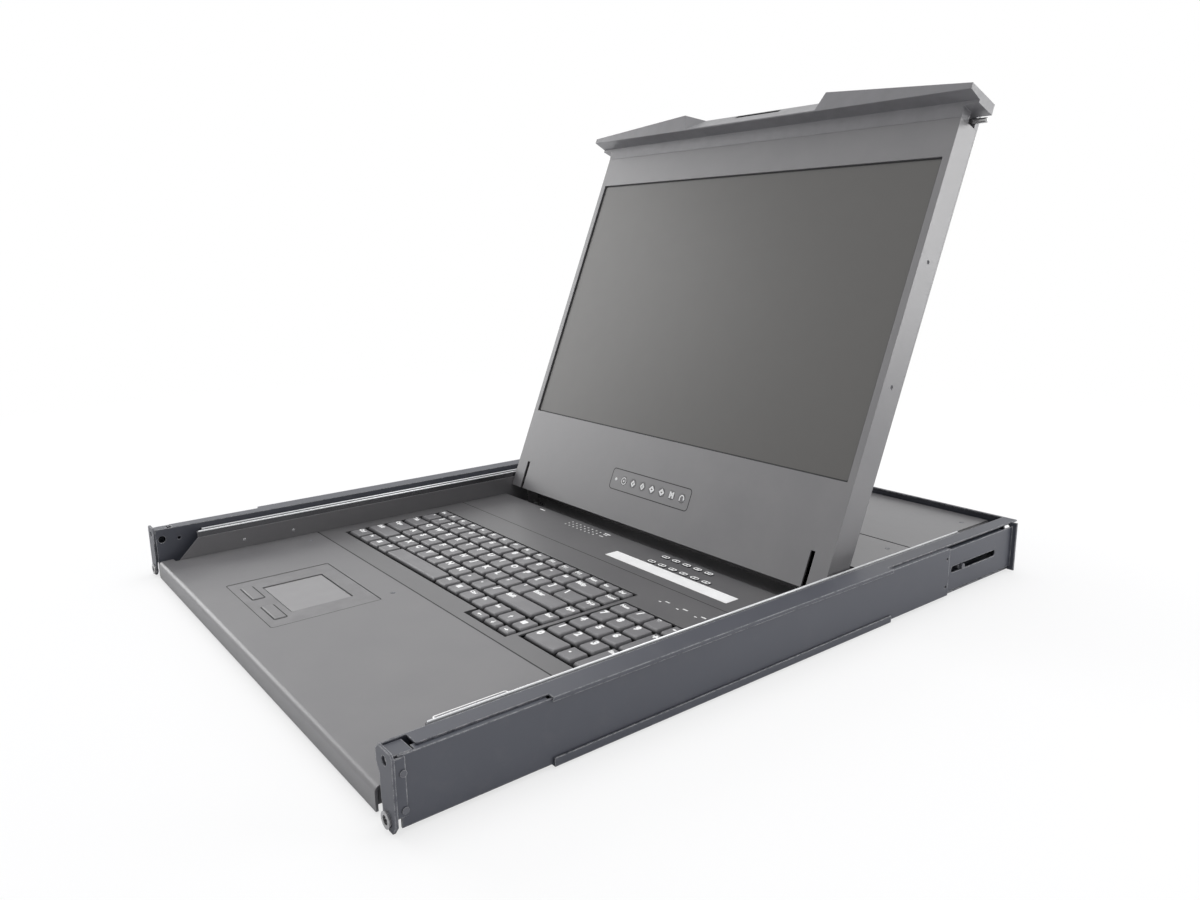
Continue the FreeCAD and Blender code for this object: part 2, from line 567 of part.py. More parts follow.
def keyboard_base():
    """Backing plate under the keys, with a stem hole under every key."""
    plate = Part.makeBox(value("pad_left - key_left + 4*key_pitch + 4*key_margin"),
                         value("5*key_pitch + function_deep + arrow_deep + 4*key_margin"),
                         size("base_sheet"),
                         FreeCAD.Vector(value("key_left - 2*key_margin"),
                                        value("key_front - arrow_deep - 2*key_margin"),
                                        value("key_floor - base_sheet")))
    block = plate.BoundBox
    rim_tall = value("tray_top - cover_sheet - key_floor + base_sheet")
    margin = size("key_margin")
    rim = Part.makeBox(block.XLength, block.YLength, rim_tall,
                       FreeCAD.Vector(block.XMin, block.YMin, block.ZMin))
    inside = Part.makeBox(block.XLength - 2 * margin, block.YLength - 2 * margin, rim_tall,
                          FreeCAD.Vector(block.XMin + margin, block.YMin + margin, block.ZMax))
    plate = rim.cut(inside)
    half = size("key_stem") / 2 + 0.3
    for keys in KEY_ROWS.values():
        for left, front, wide, deep in keys:
            hole = Part.makeBox(2 * half, 2 * half, 3 * size("base_sheet"),
                                FreeCAD.Vector(left + wide / 2 - half, front + deep / 2 - half,
                                               value("key_floor - 2*base_sheet")))
            plate = plate.cut(hole)
    return fixed_shape(plate)


def row_keys(widths, line, left=None, front=None, deep=None):
    """Keys of one row as (left, front, wide, deep), from widths in key pitches."""
    pitch = size("key_pitch")
    at = size("key_left") if left is None else left
    low = size("key_front") + line * pitch if front is None else front
    tall = pitch if deep is None else deep
    keys = []
    for units in widths:
        wide = units * pitch
        if units > 0:
            keys.append((at, low, wide, tall))
        at += abs(wide)
    return keys


def key_layout():
    """Every key of the board, row by row; a negative width leaves a space."""
    pitch = size("key_pitch")
    end = size("side_key") / pitch
    low = size("numpad_front")
    pad = size("pad_left")
    arrow_left = size("key_left") + 13 * pitch
    arrow_deep = size("arrow_deep")
    rows = {
        "keys_function_row": row_keys([1] * 15 + [end], 5, deep=size("function_deep")),
        "keys_number_row": row_keys([1] * 13 + [2, end], 4),
        "keys_upper_row": row_keys([1.5] + [1] * 12 + [1.5, end], 3),
        "keys_home_row": row_keys([1.75] + [1] * 11 + [2.25, end], 2),
        "keys_lower_row": row_keys([2.25] + [1] * 10 + [2.75, end], 1),
        "keys_bottom_row": row_keys([1.25, 1, 1, 1, -4.75, 1, 1, 1, 1, 1, 1, end], 0),
        "key_space": row_keys([4.75], 0, left=size("key_left") + 4.25 * pitch),
    }
    arrows = row_keys([1, 1, end], 0, left=arrow_left, front=size("key_front") - arrow_deep,
                      deep=arrow_deep)
    rows["keys_bottom_row"] += arrows
    numbers = []
    for line, widths in enumerate(([2, 1, 1], [1, 1, 1, -1], [1, 1, 1, 1], [1, 1, 1, -1], [1, 1, 1, 1])):
        numbers += row_keys(widths, 0, left=pad, front=low + line * pitch)
    enter_left = pad + 3 * pitch
    rows["keys_number_pad"] = [key for key in numbers
                               if not (abs(key[0] - enter_left) < 1 and key[1] < low + 3.5 * pitch)]
    rows["keys_number_pad"] += [(enter_left, low + at * pitch, pitch, 2 * pitch) for at in (0, 2)]
    return rows


def keycap(left, front, wide, deep):
    """Tapered cap on a square stem."""
    gap = size("key_gap") / 2
    taper = size("key_taper")
    foot, top = size("key_foot"), size("key_top")
    low = Part.makePolygon([FreeCAD.Vector(x, y, foot) for x, y in (
        (left + gap, front + gap), (left + wide - gap, front + gap),
        (left + wide - gap, front + deep - gap), (left + gap, front + deep - gap),
        (left + gap, front + gap))])
    inset = gap + taper
    high = Part.makePolygon([FreeCAD.Vector(x, y, top) for x, y in (
        (left + inset, front + inset), (left + wide - inset, front + inset),
        (left + wide - inset, front + deep - gap - taper / 3), (left + inset, front + deep - gap - taper / 3),
        (left + inset, front + inset))])
    cap = Part.makeLoft([low, high], True, True)
    half = size("key_stem") / 2
    stem = Part.makeBox(2 * half, 2 * half, foot - value("key_floor - base_sheet"),
                        FreeCAD.Vector(left + wide / 2 - half, front + deep / 2 - half,
                                       value("key_floor - base_sheet")))
    return cap.fuse(stem)


KEY_ROWS = key_layout()


def control_panel():
    """Panel behind the keys, with wells for the port buttons and a turned-down rear edge."""
    sheet_box = box("-drawer_half + drawer_sheet + cover_gap", "frame_end + seam_gap/2", "tray_top - cover_sheet",
                    "2*drawer_half - 2*drawer_sheet - 2*cover_gap", "panel_end - frame_end - seam_gap/2",
                    "cover_sheet")
    drop = box("-drawer_half + drawer_sheet + cover_gap", "panel_end - cover_sheet", "tray_bottom + drawer_sheet",
               "2*drawer_half - 2*drawer_sheet - 2*cover_gap", "cover_sheet",
               "tray_top - tray_bottom - drawer_sheet")
    wells = [box(f"port_left + {at}*port_pitch - port_wide/2 - port_gap", f"{line} - port_deep/2 - port_gap",
                 "tray_top - 4", "port_wide + 2*port_gap", "port_deep + 2*port_gap", "8")
             for at, line in PORTS]
    return cut(fuse(sheet_box, drop), *wells)


PORTS = [(at, "port_upper") for at in range(5)] + [(at, "port_lower") for at in range(6)]


def port_button(at, line):
    """Oval button cap over its switch stem."""
    x = f"port_left + {at}*port_pitch"
    bar = box(f"{x} - port_wide/2 + port_deep/2", f"{line} - port_deep/2", "tray_top - 2.2",
              "port_wide - port_deep", "port_deep", "2.2 + port_rise")
    ends = [rod(Z, f"{x} {sign} port_wide/2 {other} port_deep/2", line, "tray_top - 2.2", "port_deep/2",
                "2.2 + port_rise") for sign, other in ("-+", "+-")]
    return fuse(bar, *ends)


def control_board():
    """Circuit board under the control panel that carries the switches and lamps."""
    board = box("switch_left", "frame_end - 23", "tray_top - 5.4 - board_sheet", "switch_right - switch_left",
                "panel_end - frame_end + 15", "board_sheet")
    posts = [rod(Z, x, y, "tray_top - 5.4", "2.4", "5.4 - cover_sheet")
             for x in ("switch_left + 8", "switch_right - 9") for y in ("frame_end - 8", "frame_end + 34")]
    switches = [box(f"port_left + {at}*port_pitch - 2", f"{line} - 2", "tray_top - 5.4", "4", "4", "2.2")
                for at, line in PORTS]
    return fuse(board, *posts, *switches)


def status_lamps():
    """Lamp windows set flush in the control panel and the frame."""
    lamps = [rod(Z, f"lamp_left + {col}*lamp_pitch", f"lamp_front + {row}*lamp_pitch/2 + {row}*1.4",
                 "tray_top", "lamp_radius", "0.2") for row in range(3) for col in range(8)]
    locks = [box(f"lock_light_left + {at}*lock_light_pitch - 2.4", "lock_light_place - 0.7",
                 "tray_top", "4.8", "1.4", "0.2") for at in range(3)]
    return lamps + locks


def deck(start, end, drop):
    """Rear cover panel with turned-down edges."""
    top = box("-drawer_half + 1", start, "deck_top - drawer_sheet", "2*drawer_half - 2",
              f"{end} - ({start})", "drawer_sheet")
    if not drop:
        return top
    wall = box("-drawer_half + drawer_sheet + cover_gap", start, FLOOR, "2*drawer_half - 2*drawer_sheet - 2*cover_gap",
               "drawer_sheet", "deck_top - tray_bottom - drawer_sheet")
    return fuse(top, wall)


def hinge_post(sign):
    """Upright hinge plate: foot on the pan, stem and round eye about the lid's pin."""
    left = "hinge_at - hinge_plate/2" if sign == "+" else "-hinge_at - hinge_plate/2"
    stem = box(left, "hinge_place - hinge_eye", FLOOR, "hinge_plate", "2*hinge_eye",
               "hinge_height - tray_bottom - drawer_sheet")
    eye = rod(X, left, "hinge_place", "hinge_height", "hinge_eye", "hinge_plate")
    foot = box(f"{left} - 8", "hinge_place - hinge_eye - 3", FLOOR, "hinge_plate + 16", "2*hinge_eye + 6",
               "2")
    bore = rod(X, f"{left} - 1", "hinge_place", "hinge_height", "hinge_pin + 0.06", "hinge_plate + 2")
    return cut(fuse(stem, eye, foot), bore)


def main_board():
    """Switch board in the rear bay, on its standoffs, with its larger parts."""
    top = "board_level + board_sheet"
    board = box("board_left", "board_front", "board_level", "board_right - board_left",
                "board_rear - board_front", "board_sheet")
    legs = [rod(Z, x, y, FLOOR, "3", "board_level - tray_bottom - drawer_sheet")
            for x in ("board_left + 10", "board_left/2 + board_right/2", "board_right - 10")
            for y in ("board_front + 10", "board_rear - 10")]
    chips = [box(f"board_left + {along}", f"board_front + {back}", top, "24", "24", "3")
             for along, back in ((30, 40), (100, 50), (180, 35))]
    towers = [rod(Z, f"board_right - {along}", "board_front + 25", top, "5", "12") for along in (70, 54, 38)]
    return fuse(board, *legs, *chips, *towers)


def power_supply():
    """Power supply case, standing on the pan."""
    case = box("supply_left", "board_front", FLOOR, "supply_wide", "supply_deep", "supply_tall")
    slots = [box("supply_left - 1", f"board_front + 20 + {at}*14", "-10", "3", "6", "12") for at in range(6)]
    return cut(case, *slots)


def port_socket(at):
    """Computer port: metal shell filled by its insulator, on the board's rear edge."""
    return box(f"socket_first + {at}*socket_pitch - socket_wide/2", "drawer_rear - 16", "socket_low",
               "socket_wide", "16.6", "socket_tall")


def power_inlet():
    """Appliance inlet with three blades."""
    body = box("inlet_left", "drawer_rear - 22", "inlet_low", "inlet_wide", "22.6", "inlet_tall")
    well = box("inlet_left + inlet_wall", "drawer_rear - 14", "inlet_low + inlet_wall",
               "inlet_wide - 2*inlet_wall", "16", "inlet_tall - 2*inlet_wall")
    blades = [box(f"inlet_left + {along}", "drawer_rear - 22", f"inlet_low + {rise}", "2", "16", "5")
              for along, rise in ((6.1, 5), (19.1, 5), (12.6, 11))]
    return fuse(cut(body, well), *blades)


def cover_screws():
    """Countersunk screws, heads level with the palm rest and deck."""
    spots = [("21.9 - drawer_half", "seam_place - 14.4", "tray_top"), ("-20", "seam_place - 14.4", "tray_top")]
    spots += [(x, y, "deck_top") for x in ("11.9 - drawer_half", "drawer_half - 11.9")
              for y in ("deck_seam - 15.6", "drawer_rear - 24")]
    return [rod(Z, x, y, level, "2", "0.3") for x, y, level in spots]


node(drawer_pan(), "drawer_pan")
node(palm_rest(), "palm_rest")
node(touchpad_frame(), "touchpad_frame")
node(touchpad_sensor(), "touchpad_sensor")
node(click_button("-"), "touch_button_left")
node(click_button("+"), "touch_button_right")
node(keyboard_frame(), "keyboard_frame")
node(keyboard_base(), "keyboard_base")
for label, keys in KEY_ROWS.items():
    node(fixed_shape(Part.makeCompound([keycap(*key) for key in keys])), label)
node(control_panel(), "control_panel")
node(control_board(), "control_board")
node(group(*[port_button(at, line) for at, line in PORTS]), "port_buttons")
node(group(*status_lamps()), "status_lamps")
node(deck("deck_front_start", "deck_seam - deck_gap/2", True), "deck_front")
node(deck("deck_seam + deck_gap/2", "drawer_rear", False), "deck_rear")
node(group(hinge_post("+"), hinge_post("-")), "hinge_posts")
node(main_board(), "main_board")
node(power_supply(), "power_supply")
node(group(*[port_socket(at) for at in range(8)], power_inlet()), "rear_sockets")
node(group(*cover_screws()), "cover_screws")

# ---------------------------------------------------------------- lid
# Drawn in the lid's own frame: origin on the hinge axis, +Y up the screen, +Z out of its face.

LID_WIDE = "2*lid_half"


def lid_shell():
    """Front casing with its side walls, open for the screen, buttons and hinge plates."""
    tall = "lid_top - lid_bottom"
    outer = box("-lid_half", "lid_bottom", "lid_back + lid_sheet", LID_WIDE, tall,
                "lid_face - lid_back - lid_sheet")
    hollow = box("-lid_half + lid_sheet", "lid_bottom + lid_sheet", "lid_back", "2*lid_half - 2*lid_sheet",
                 "lid_top - lid_bottom - 2*lid_sheet", "lid_face - lid_back - lid_sheet")
    view = box("-view_wide/2", "view_bottom", "0", "view_wide", "view_tall", "20")
    slits = [box(f"{x} - hinge_slit/2", "lid_bottom - 1", "lid_back - 1", "hinge_slit",
                 "slit_top - lid_bottom + 1", "lid_face - lid_back + 6") for x in ("hinge_at", "-hinge_at")]
    wells = [rod(Z, f"menu_first + {at}*menu_pitch", "menu_height", "0", "menu_radius + 0.25", "20")
             for at in range(7)]
    sides = [rod(X, start, place_at, "0", "1.6", "lid_sheet + 1.5") for start in
             ("-lid_half - 0.5", "lid_half - lid_sheet - 0.5") for place_at in SIDE_SCREWS]
    return cut(outer, hollow, view, *slits, *wells, *sides)


SIDE_SCREWS = ("lid_screw_low", "lid_screw_high")


def lid_back_cover():
    """Flat rear cover, slotted for the hinge plates."""
    plate = box("-lid_half", "lid_bottom", "lid_back", LID_WIDE, "lid_top - lid_bottom", "lid_sheet")
    slits = [box(f"{x} - hinge_slit/2", "lid_bottom - 1", "lid_back - 1", "hinge_slit",
                 "12 - lid_bottom", "6") for x in ("hinge_at", "-hinge_at")]
    return cut(plate, *slits)


def screen_glass():
    """Display glass behind the opening."""
    return box("-view_wide/2 - 3", "view_bottom - 3", "lid_face - lid_sheet - glass_depth", "view_wide + 6",
               "view_tall + 6", "glass_depth")


def screen_module():
    """Backlit panel behind the glass."""
    return box("-view_wide/2 - 2", "view_bottom - 2", "lid_face - lid_sheet - glass_depth - module_depth",
               "view_wide + 4", "view_tall + 4", "module_depth")


def menu_board():
    """Small board behind the on-screen menu buttons."""
    board = box("-56", "menu_height - 11", "lid_face - 9.6", "112", "22", "1.6")
    pads = [rod(Z, f"menu_first + {at}*menu_pitch", "menu_height", "lid_face - 8.2", "1.6", "3.2")
            for at in range(7)]
    legs = [box(x, "menu_height - 3", "lid_back + lid_sheet", "6", "6",
                "lid_face - 9.4 - lid_back - lid_sheet") for x in ("-54", "48")]
    return fuse(board, *pads, *legs)


def menu_button(at):
    """Round menu button, a little proud of the casing."""
    return rod(Z, f"menu_first + {at}*menu_pitch", "menu_height", "lid_face - lid_sheet - 2.2",
               "menu_radius", "lid_sheet + 2.3")


def hinge_arm(side):
    """Lid half of a hinge: pin through the plate's eye, barrels each side and a mounting leaf."""
    at = "hinge_at" if side > 0 else "-hinge_at"
    pin = rod(X, f"{at} - 12", "0", "0", "hinge_pin", "24")
    gap = "hinge_slit/2"
    inner = rod(X, f"{at} - 14", "0", "0", "hinge_barrel", "14 - hinge_slit/2")
    outer = rod(X, f"{at} + {gap}", "0", "0", "hinge_barrel", "14 - hinge_slit/2")
    inner_leaf = box(f"{at} - 14", "0", "lid_back + lid_sheet", "14 - hinge_slit/2", "44",
                     "2.2")
    outer_leaf = box(f"{at} + {gap}", "0", "lid_back + lid_sheet", "14 - hinge_slit/2", "44", "2.2")
    bridge = box(f"{at} - 14", "26", "lid_back + lid_sheet", "28", "18", "2.2")
    webs = [box(left, "-3.5", "lid_back + lid_sheet", "14 - hinge_slit/2", "7", "-lid_back - lid_sheet")
            for left in (f"{at} - 14", f"{at} + {gap}")]
    return fuse(pin, inner, outer, inner_leaf, outer_leaf, bridge, *webs)


def side_screw(x, at):
    """Flat screw in the casing's side wall."""
    return rod(X, x, at, "0", "1.5", "lid_sheet + 0.2")


def ledge_cut():
    """Wedge taken out between the handle's wings: a ledge at 45 degrees with slanting ends."""
    low, high, front = size("ledge_low"), value("grip_top + 1"), size("grip_front")
    half, peak, slant = size("ledge_half"), size("grip_peak"), size("ledge_slant")
    rise = high - low
    widen = (peak - half) * rise / value("grip_top - grip_under")
    rings = []
    for back in (0.0, slant + 1):
        corners = [(-half - widen + back, high), (half + widen - back, high), (half - back, low),
                   (back - half, low)]
        points = [FreeCAD.Vector(x, v, front - back) for x, v in corners]
        rings.append(Part.makePolygon(points + points[:1]))
    wings = Part.makeLoft(rings, True, True)
    corners = [(low, front + 1), (low, front), (high, front - rise), (high, front + 1)]
    points = [FreeCAD.Vector(-peak - slant, v, n) for v, n in corners]
    face = Part.Face(Part.makePolygon(points + points[:1]))
    return fixed_shape(wings.common(face.extrude(X * (2 * (peak + slant)))))


def handle():
    """Overhanging grip across the lid's top: two tapered wings and a sloping ledge between them."""
    front = [("-grip_half", "grip_shoulder"), ("-lid_half", "grip_shoulder"), ("-lid_half", "lid_top"),
             ("lid_half", "lid_top"), ("lid_half", "grip_shoulder"), ("grip_half", "grip_shoulder"),
             ("grip_half", "grip_end_top"), ("grip_peak", "grip_top"), ("-grip_peak", "grip_top"),
             ("-grip_half", "grip_end_top")]
    face = place(outline("XY_Plane", front, "grip_front - lid_back"), "0", "0", "lid_back")
    section = [("lid_top", "lid_back"), ("grip_end_top - 3", "lid_back"), ("grip_top", "lid_face - 12"),
               ("grip_top", "grip_front"), ("grip_under + 1.5", "grip_front"),
               ("grip_under", "lid_face + 2"), ("lid_top", "lid_face")]
    side = along_x(section, "-grip_half - 1", "2*grip_half + 2")
    trims = [box(x, "lid_top", "lid_back - 1", "grip_half - lid_half + 2", "grip_top - lid_top",
                 "grip_back - lid_back + 1") for x in ("lid_half", "-grip_half - 2")]
    notches = [box(x, "latch_line - 3.5", "-latch_set - 4.5", "5", "8.6", "9")
               for x in ("lid_half - 4", "-lid_half - 1")]
    bores = [rod(X, x, "latch_line", "-latch_set", "latch_radius + 0.3", "grip_half - latch_in + 8")
             for x in ("latch_in - 6", "-grip_half - 2")]
    slot = box("-release_half - 4.4", "release_line - release_tall/2 - 0.4", "lid_face - 7",
               "2*release_half + 8.8", "release_tall + 0.8", "grip_front - lid_face")
    return cut(common(face, side), ledge_cut(), *trims, *notches, *bores, slot)


def release_slider():
    """Thumb bar sunk in the ledge's slot, which draws the latch pins in."""
    return box("-release_half", "release_line - release_tall/2", "lid_face - 6.7", "2*release_half",
               "release_tall", "8.2")


def latch_pin():
    """Round latch pin at one end of the handle."""
    pin = rod(X, "latch_in", "latch_line", "-latch_set", "latch_radius", "latch_out - latch_in - 1")
    nose = doc.addObject("Part::Cone", "Nose")
    nose.setExpression("Radius1", expr("latch_radius"))
    nose.setExpression("Radius2", expr("latch_radius - 0.8"))
    nose.Height = 1.0
    nose.Placement = FreeCAD.Placement(ORIGIN, FreeCAD.Rotation(Z, X))
    place(nose, "latch_out - 1", "latch_line", "-latch_set")
    return fuse(pin, nose)


def lid_node(item, label):
    """Hinge a lid piece to the drawer and name it."""
    return node(on_lid(item), label)


lid_node(lid_shell(), "lid_shell")
lid_node(lid_back_cover(), "lid_back_cover")
lid_node(group(screen_glass()), "screen_glass")
lid_node(group(screen_module()), "screen_module")
lid_node(menu_board(), "menu_board")
lid_node(group(*[menu_button(at) for at in range(7)]), "menu_buttons")
lid_node(group(hinge_arm(1), hinge_arm(-1)), "hinge_arms")
lid_node(group(*[side_screw(x, at) for x in ("lid_half - lid_sheet", "-lid_half - 0.2")
                 for at in SIDE_SCREWS]), "lid_screws")
lid_node(handle(), "handle")
lid_node(group(release_slider()), "release_slider")
pin_right = lid_node(latch_pin(), "latch_pin_right")
node(mirror(pin_right), "latch_pin_left")

# ---------------------------------------------------------------- checks and files

doc.recompute()
for item in doc.Objects:
    if "Invalid" in item.State or "Error" in item.State:
        raise RuntimeError(f"{item.Name} ({item.Label}) did not build")
os.makedirs("parts", exist_ok=True)
for item in NODES:
    shape = item.Shape
    if shape.isNull() or not shape.isValid() or not shape.Solids:
        raise RuntimeError(f"{item.Label} has no valid solid")
    shape.exportStep(f"parts/{item.Label}.step")
    box_of = shape.BoundBox
    print(f"{item.Label}: {len(shape.Solids)} solids, {shape.Volume / 1000:.2f} cm3, "
          f"x {box_of.XMin:.1f} {box_of.XMax:.1f} y {box_of.YMin:.1f} {box_of.YMax:.1f} "
          f"z {box_of.ZMin:.1f} {box_of.ZMax:.1f}")
print(len(NODES), "nodes")
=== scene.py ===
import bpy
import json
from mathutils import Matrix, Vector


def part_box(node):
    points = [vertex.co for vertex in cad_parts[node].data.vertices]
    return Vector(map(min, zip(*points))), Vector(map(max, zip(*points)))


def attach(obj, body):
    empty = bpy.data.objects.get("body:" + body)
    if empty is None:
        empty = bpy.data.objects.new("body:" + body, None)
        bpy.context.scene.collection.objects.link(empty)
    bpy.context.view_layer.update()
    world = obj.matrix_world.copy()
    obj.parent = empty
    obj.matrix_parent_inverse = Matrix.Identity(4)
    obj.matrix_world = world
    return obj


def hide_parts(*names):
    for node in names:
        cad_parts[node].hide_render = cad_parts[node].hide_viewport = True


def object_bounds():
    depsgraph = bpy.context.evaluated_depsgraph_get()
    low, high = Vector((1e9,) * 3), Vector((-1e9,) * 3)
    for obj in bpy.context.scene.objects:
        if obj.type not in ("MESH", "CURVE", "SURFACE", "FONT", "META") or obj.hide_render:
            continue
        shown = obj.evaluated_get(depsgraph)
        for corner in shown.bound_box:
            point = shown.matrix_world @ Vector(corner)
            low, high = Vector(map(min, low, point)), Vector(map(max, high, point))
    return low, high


bl_info = {
    "name": "Rack console drawer finish",
    "version": (1, 0, 0),
    "blender": (4, 5, 0),
    "location": "View3D > Sidebar > Console",
    "description": "Finishes, printing, fixings and stage for a rackmount display console drawer",
    "category": "Object",
}

import bpy
import bmesh
import json
import math
from bpy.props import FloatProperty, FloatVectorProperty, PointerProperty
from mathutils import Matrix, Vector

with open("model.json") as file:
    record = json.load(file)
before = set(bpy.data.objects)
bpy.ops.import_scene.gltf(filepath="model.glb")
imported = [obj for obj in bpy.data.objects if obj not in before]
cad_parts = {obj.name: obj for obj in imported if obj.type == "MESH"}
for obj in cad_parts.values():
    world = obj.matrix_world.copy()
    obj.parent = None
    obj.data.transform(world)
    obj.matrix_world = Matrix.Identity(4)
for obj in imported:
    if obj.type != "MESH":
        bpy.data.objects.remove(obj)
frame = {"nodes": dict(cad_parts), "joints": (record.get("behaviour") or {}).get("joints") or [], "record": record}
CAD_BOX = [list(corner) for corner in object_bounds()]
NODES = frame["nodes"]
RECORD = frame["record"]
SLOT_OF = {part["node"]: part["material_slot"] for part in RECORD["subparts"]}
BODY_OF = {node: body for body, nodes in RECORD["behaviour"]["bodies"].items() for node in nodes}
MM = 0.001


def hinge():
    """Pivot of the display and the direction its face looks in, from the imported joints."""
    joints = {joint["name"]: joint for joint in frame["joints"]}
    pivot = Vector(joints["display_hinge"]["pos_m"])
    press = Vector(joints["menu_press"]["axis"]).normalized()
    return pivot, -press if press.y > 0 else press


PIVOT, OUT = hinge()
UP = Vector((0, OUT.z, -OUT.y))
# Display's own axes: X across, Y up its face, Z out of it.
LID = Matrix(((1, 0, 0, 0), (0, UP.y, OUT.y, PIVOT.y), (0, UP.z, OUT.z, PIVOT.z), (0, 0, 0, 1)))


# ---- settings

def colour(name, text, default):
    """Colour property with a picker."""
    return FloatVectorProperty(name=name, description=text, subtype="COLOR", size=3, min=0, max=1,
                               default=default)


class ConsoleColours(bpy.types.PropertyGroup):
    tray: colour("Tray coat", "Powder coat of the tray, covers and display casing", (0.145, 0.142, 0.147))
    rail: colour("Rail coat", "Powder coat of the rails and ears", (0.043, 0.047, 0.063))
    keys: colour("Keycaps", "Moulded keycap plastic", (0.175, 0.172, 0.178))
    ink: colour("Printing", "White printing on keys and panels", (0.95, 0.95, 0.94))
    # The zinc colour drives the slide lips, raised further as painted highlight.
    zinc: colour("Zinc", "Rolled lips of the slide members", (0.80, 0.81, 0.82))
    screen: colour("Screen", "Unlit display behind its glass", (0.098, 0.095, 0.090))


class ConsoleSizes(bpy.types.PropertyGroup):
    legend: FloatProperty(name="Legend height", description="Height of the characters on the keycaps",
                          default=0.0058, min=0.001, max=0.01, unit="LENGTH")
    ink: FloatProperty(name="Ink thickness", description="How far printing stands above a surface",
                       default=0.00004, min=0.00001, max=0.0005, unit="LENGTH")
    edge: FloatProperty(name="Edge radius", description="Rounding seen along folded and moulded edges",
                        default=0.0005, min=0.0001, max=0.003, unit="LENGTH")
    screw: FloatProperty(name="Cover screw radius", description="Radius of the countersunk cover screws",
                         default=0.0026, min=0.001, max=0.005, unit="LENGTH")


def colours():
    """Colours set in the panel."""
    return bpy.context.scene.console_colours


def sizes():
    """Sizes set in the panel."""
    return bpy.context.scene.console_sizes


# ---- node groups

def group(name, outputs, **inputs):
    """Empty shader group; a number makes a plain input and four numbers make a colour."""
    tree = bpy.data.node_groups.new(name, "ShaderNodeTree")
    for label, default in inputs.items():
        kind = "NodeSocketColor" if isinstance(default, tuple) else "NodeSocketFloat"
        tree.interface.new_socket(label, in_out="INPUT", socket_type=kind).default_value = default
    for label, kind in outputs:
        tree.interface.new_socket(label, in_out="OUTPUT", socket_type=kind)
    return tree, tree.nodes.new("NodeGroupInput").outputs, tree.nodes.new("NodeGroupOutput")


def add(tree, kind, **values):
    """Node with its settings and unlinked inputs filled in."""
    item = tree.nodes.new(kind)
    for key, setting in values.items():
        if hasattr(item, key):
            setattr(item, key, setting)
        else:
            item.inputs[key.replace("_", " ")].default_value = setting
    return item


def plug(tree, given, slot):
    """Fill an input from a socket or with a plain value."""
    if isinstance(given, (int, float, tuple)):
        slot.default_value = given
    else:
        tree.links.new(given, slot)


def give(tree, item, **sources):
    """Link sockets to a node's inputs by their names."""
    for label, source in sources.items():
        tree.links.new(source, item.inputs[label.replace("_", " ")])


def ramp(tree, low, high, source):
    """Map a value between two limits to 0 and 1."""
    item = add(tree, "ShaderNodeMapRange", From_Min=low, From_Max=high)
    give(tree, item, Value=source)
    return item.outputs["Result"]


def math_node(tree, operation, one, two):
    """Two-input arithmetic; each input is a socket or a number."""
    item = add(tree, "ShaderNodeMath", operation=operation)
    plug(tree, one, item.inputs[0])
    plug(tree, two, item.inputs[1])
    return item.outputs[0]


def times(tree, one, two):
    """Product of two inputs."""
    return math_node(tree, "MULTIPLY", one, two)


def plus(tree, one, two):
    """Sum of two inputs."""
    return math_node(tree, "ADD", one, two)


def mix_colour(tree, factor, one, two, blend="MIX"):
    """Colour mix; factor and colours are sockets or plain values."""
    item = add(tree, "ShaderNodeMix", data_type="RGBA", blend_type=blend)
    for socket, given in ((0, factor), (6, one), (7, two)):
        plug(tree, given, item.inputs[socket])
    return item.outputs[2]


def measure(tree, operation, source, target):
    """Dot product or distance of two vectors; each is a socket or a plain value."""
    item = add(tree, "ShaderNodeVectorMath", operation=operation)
    plug(tree, source, item.inputs[0])
    plug(tree, target, item.inputs[1])
    return item.outputs["Value"]


def place_on(tree, kind="Object"):
    """Where a point is in its piece's own coordinates; for the sky, Generated is the direction seen."""
    return add(tree, "ShaderNodeTexCoord").outputs[kind]


def noise(tree, place, scale, detail=3.0, rough=0.55):
    """Noise factor at a scale per metre."""
    item = add(tree, "ShaderNodeTexNoise", Scale=scale, Detail=detail, Roughness=rough)
    give(tree, item, Vector=place)
    return item.outputs["Fac"]


def edge_group():
    """Rounded-edge normal with a mask of where the edge is."""
    tree, given, out = group("Edge Rounding", [("Normal", "NodeSocketVector"), ("Edge", "NodeSocketFloat")],
                             Radius=0.5 * MM)
    bevel = add(tree, "ShaderNodeBevel", samples=4)
    give(tree, bevel, Radius=given["Radius"])
    flat = add(tree, "ShaderNodeNewGeometry").outputs["True Normal"]
    same = measure(tree, "DOT_PRODUCT", bevel.outputs[0], flat)
    give(tree, out, Normal=bevel.outputs[0], Edge=ramp(tree, 0.985, 0.86, same))
    return tree


SURFACE = [("Colour", "NodeSocketColor"), ("Roughness", "NodeSocketFloat"), ("Height", "NodeSocketFloat")]


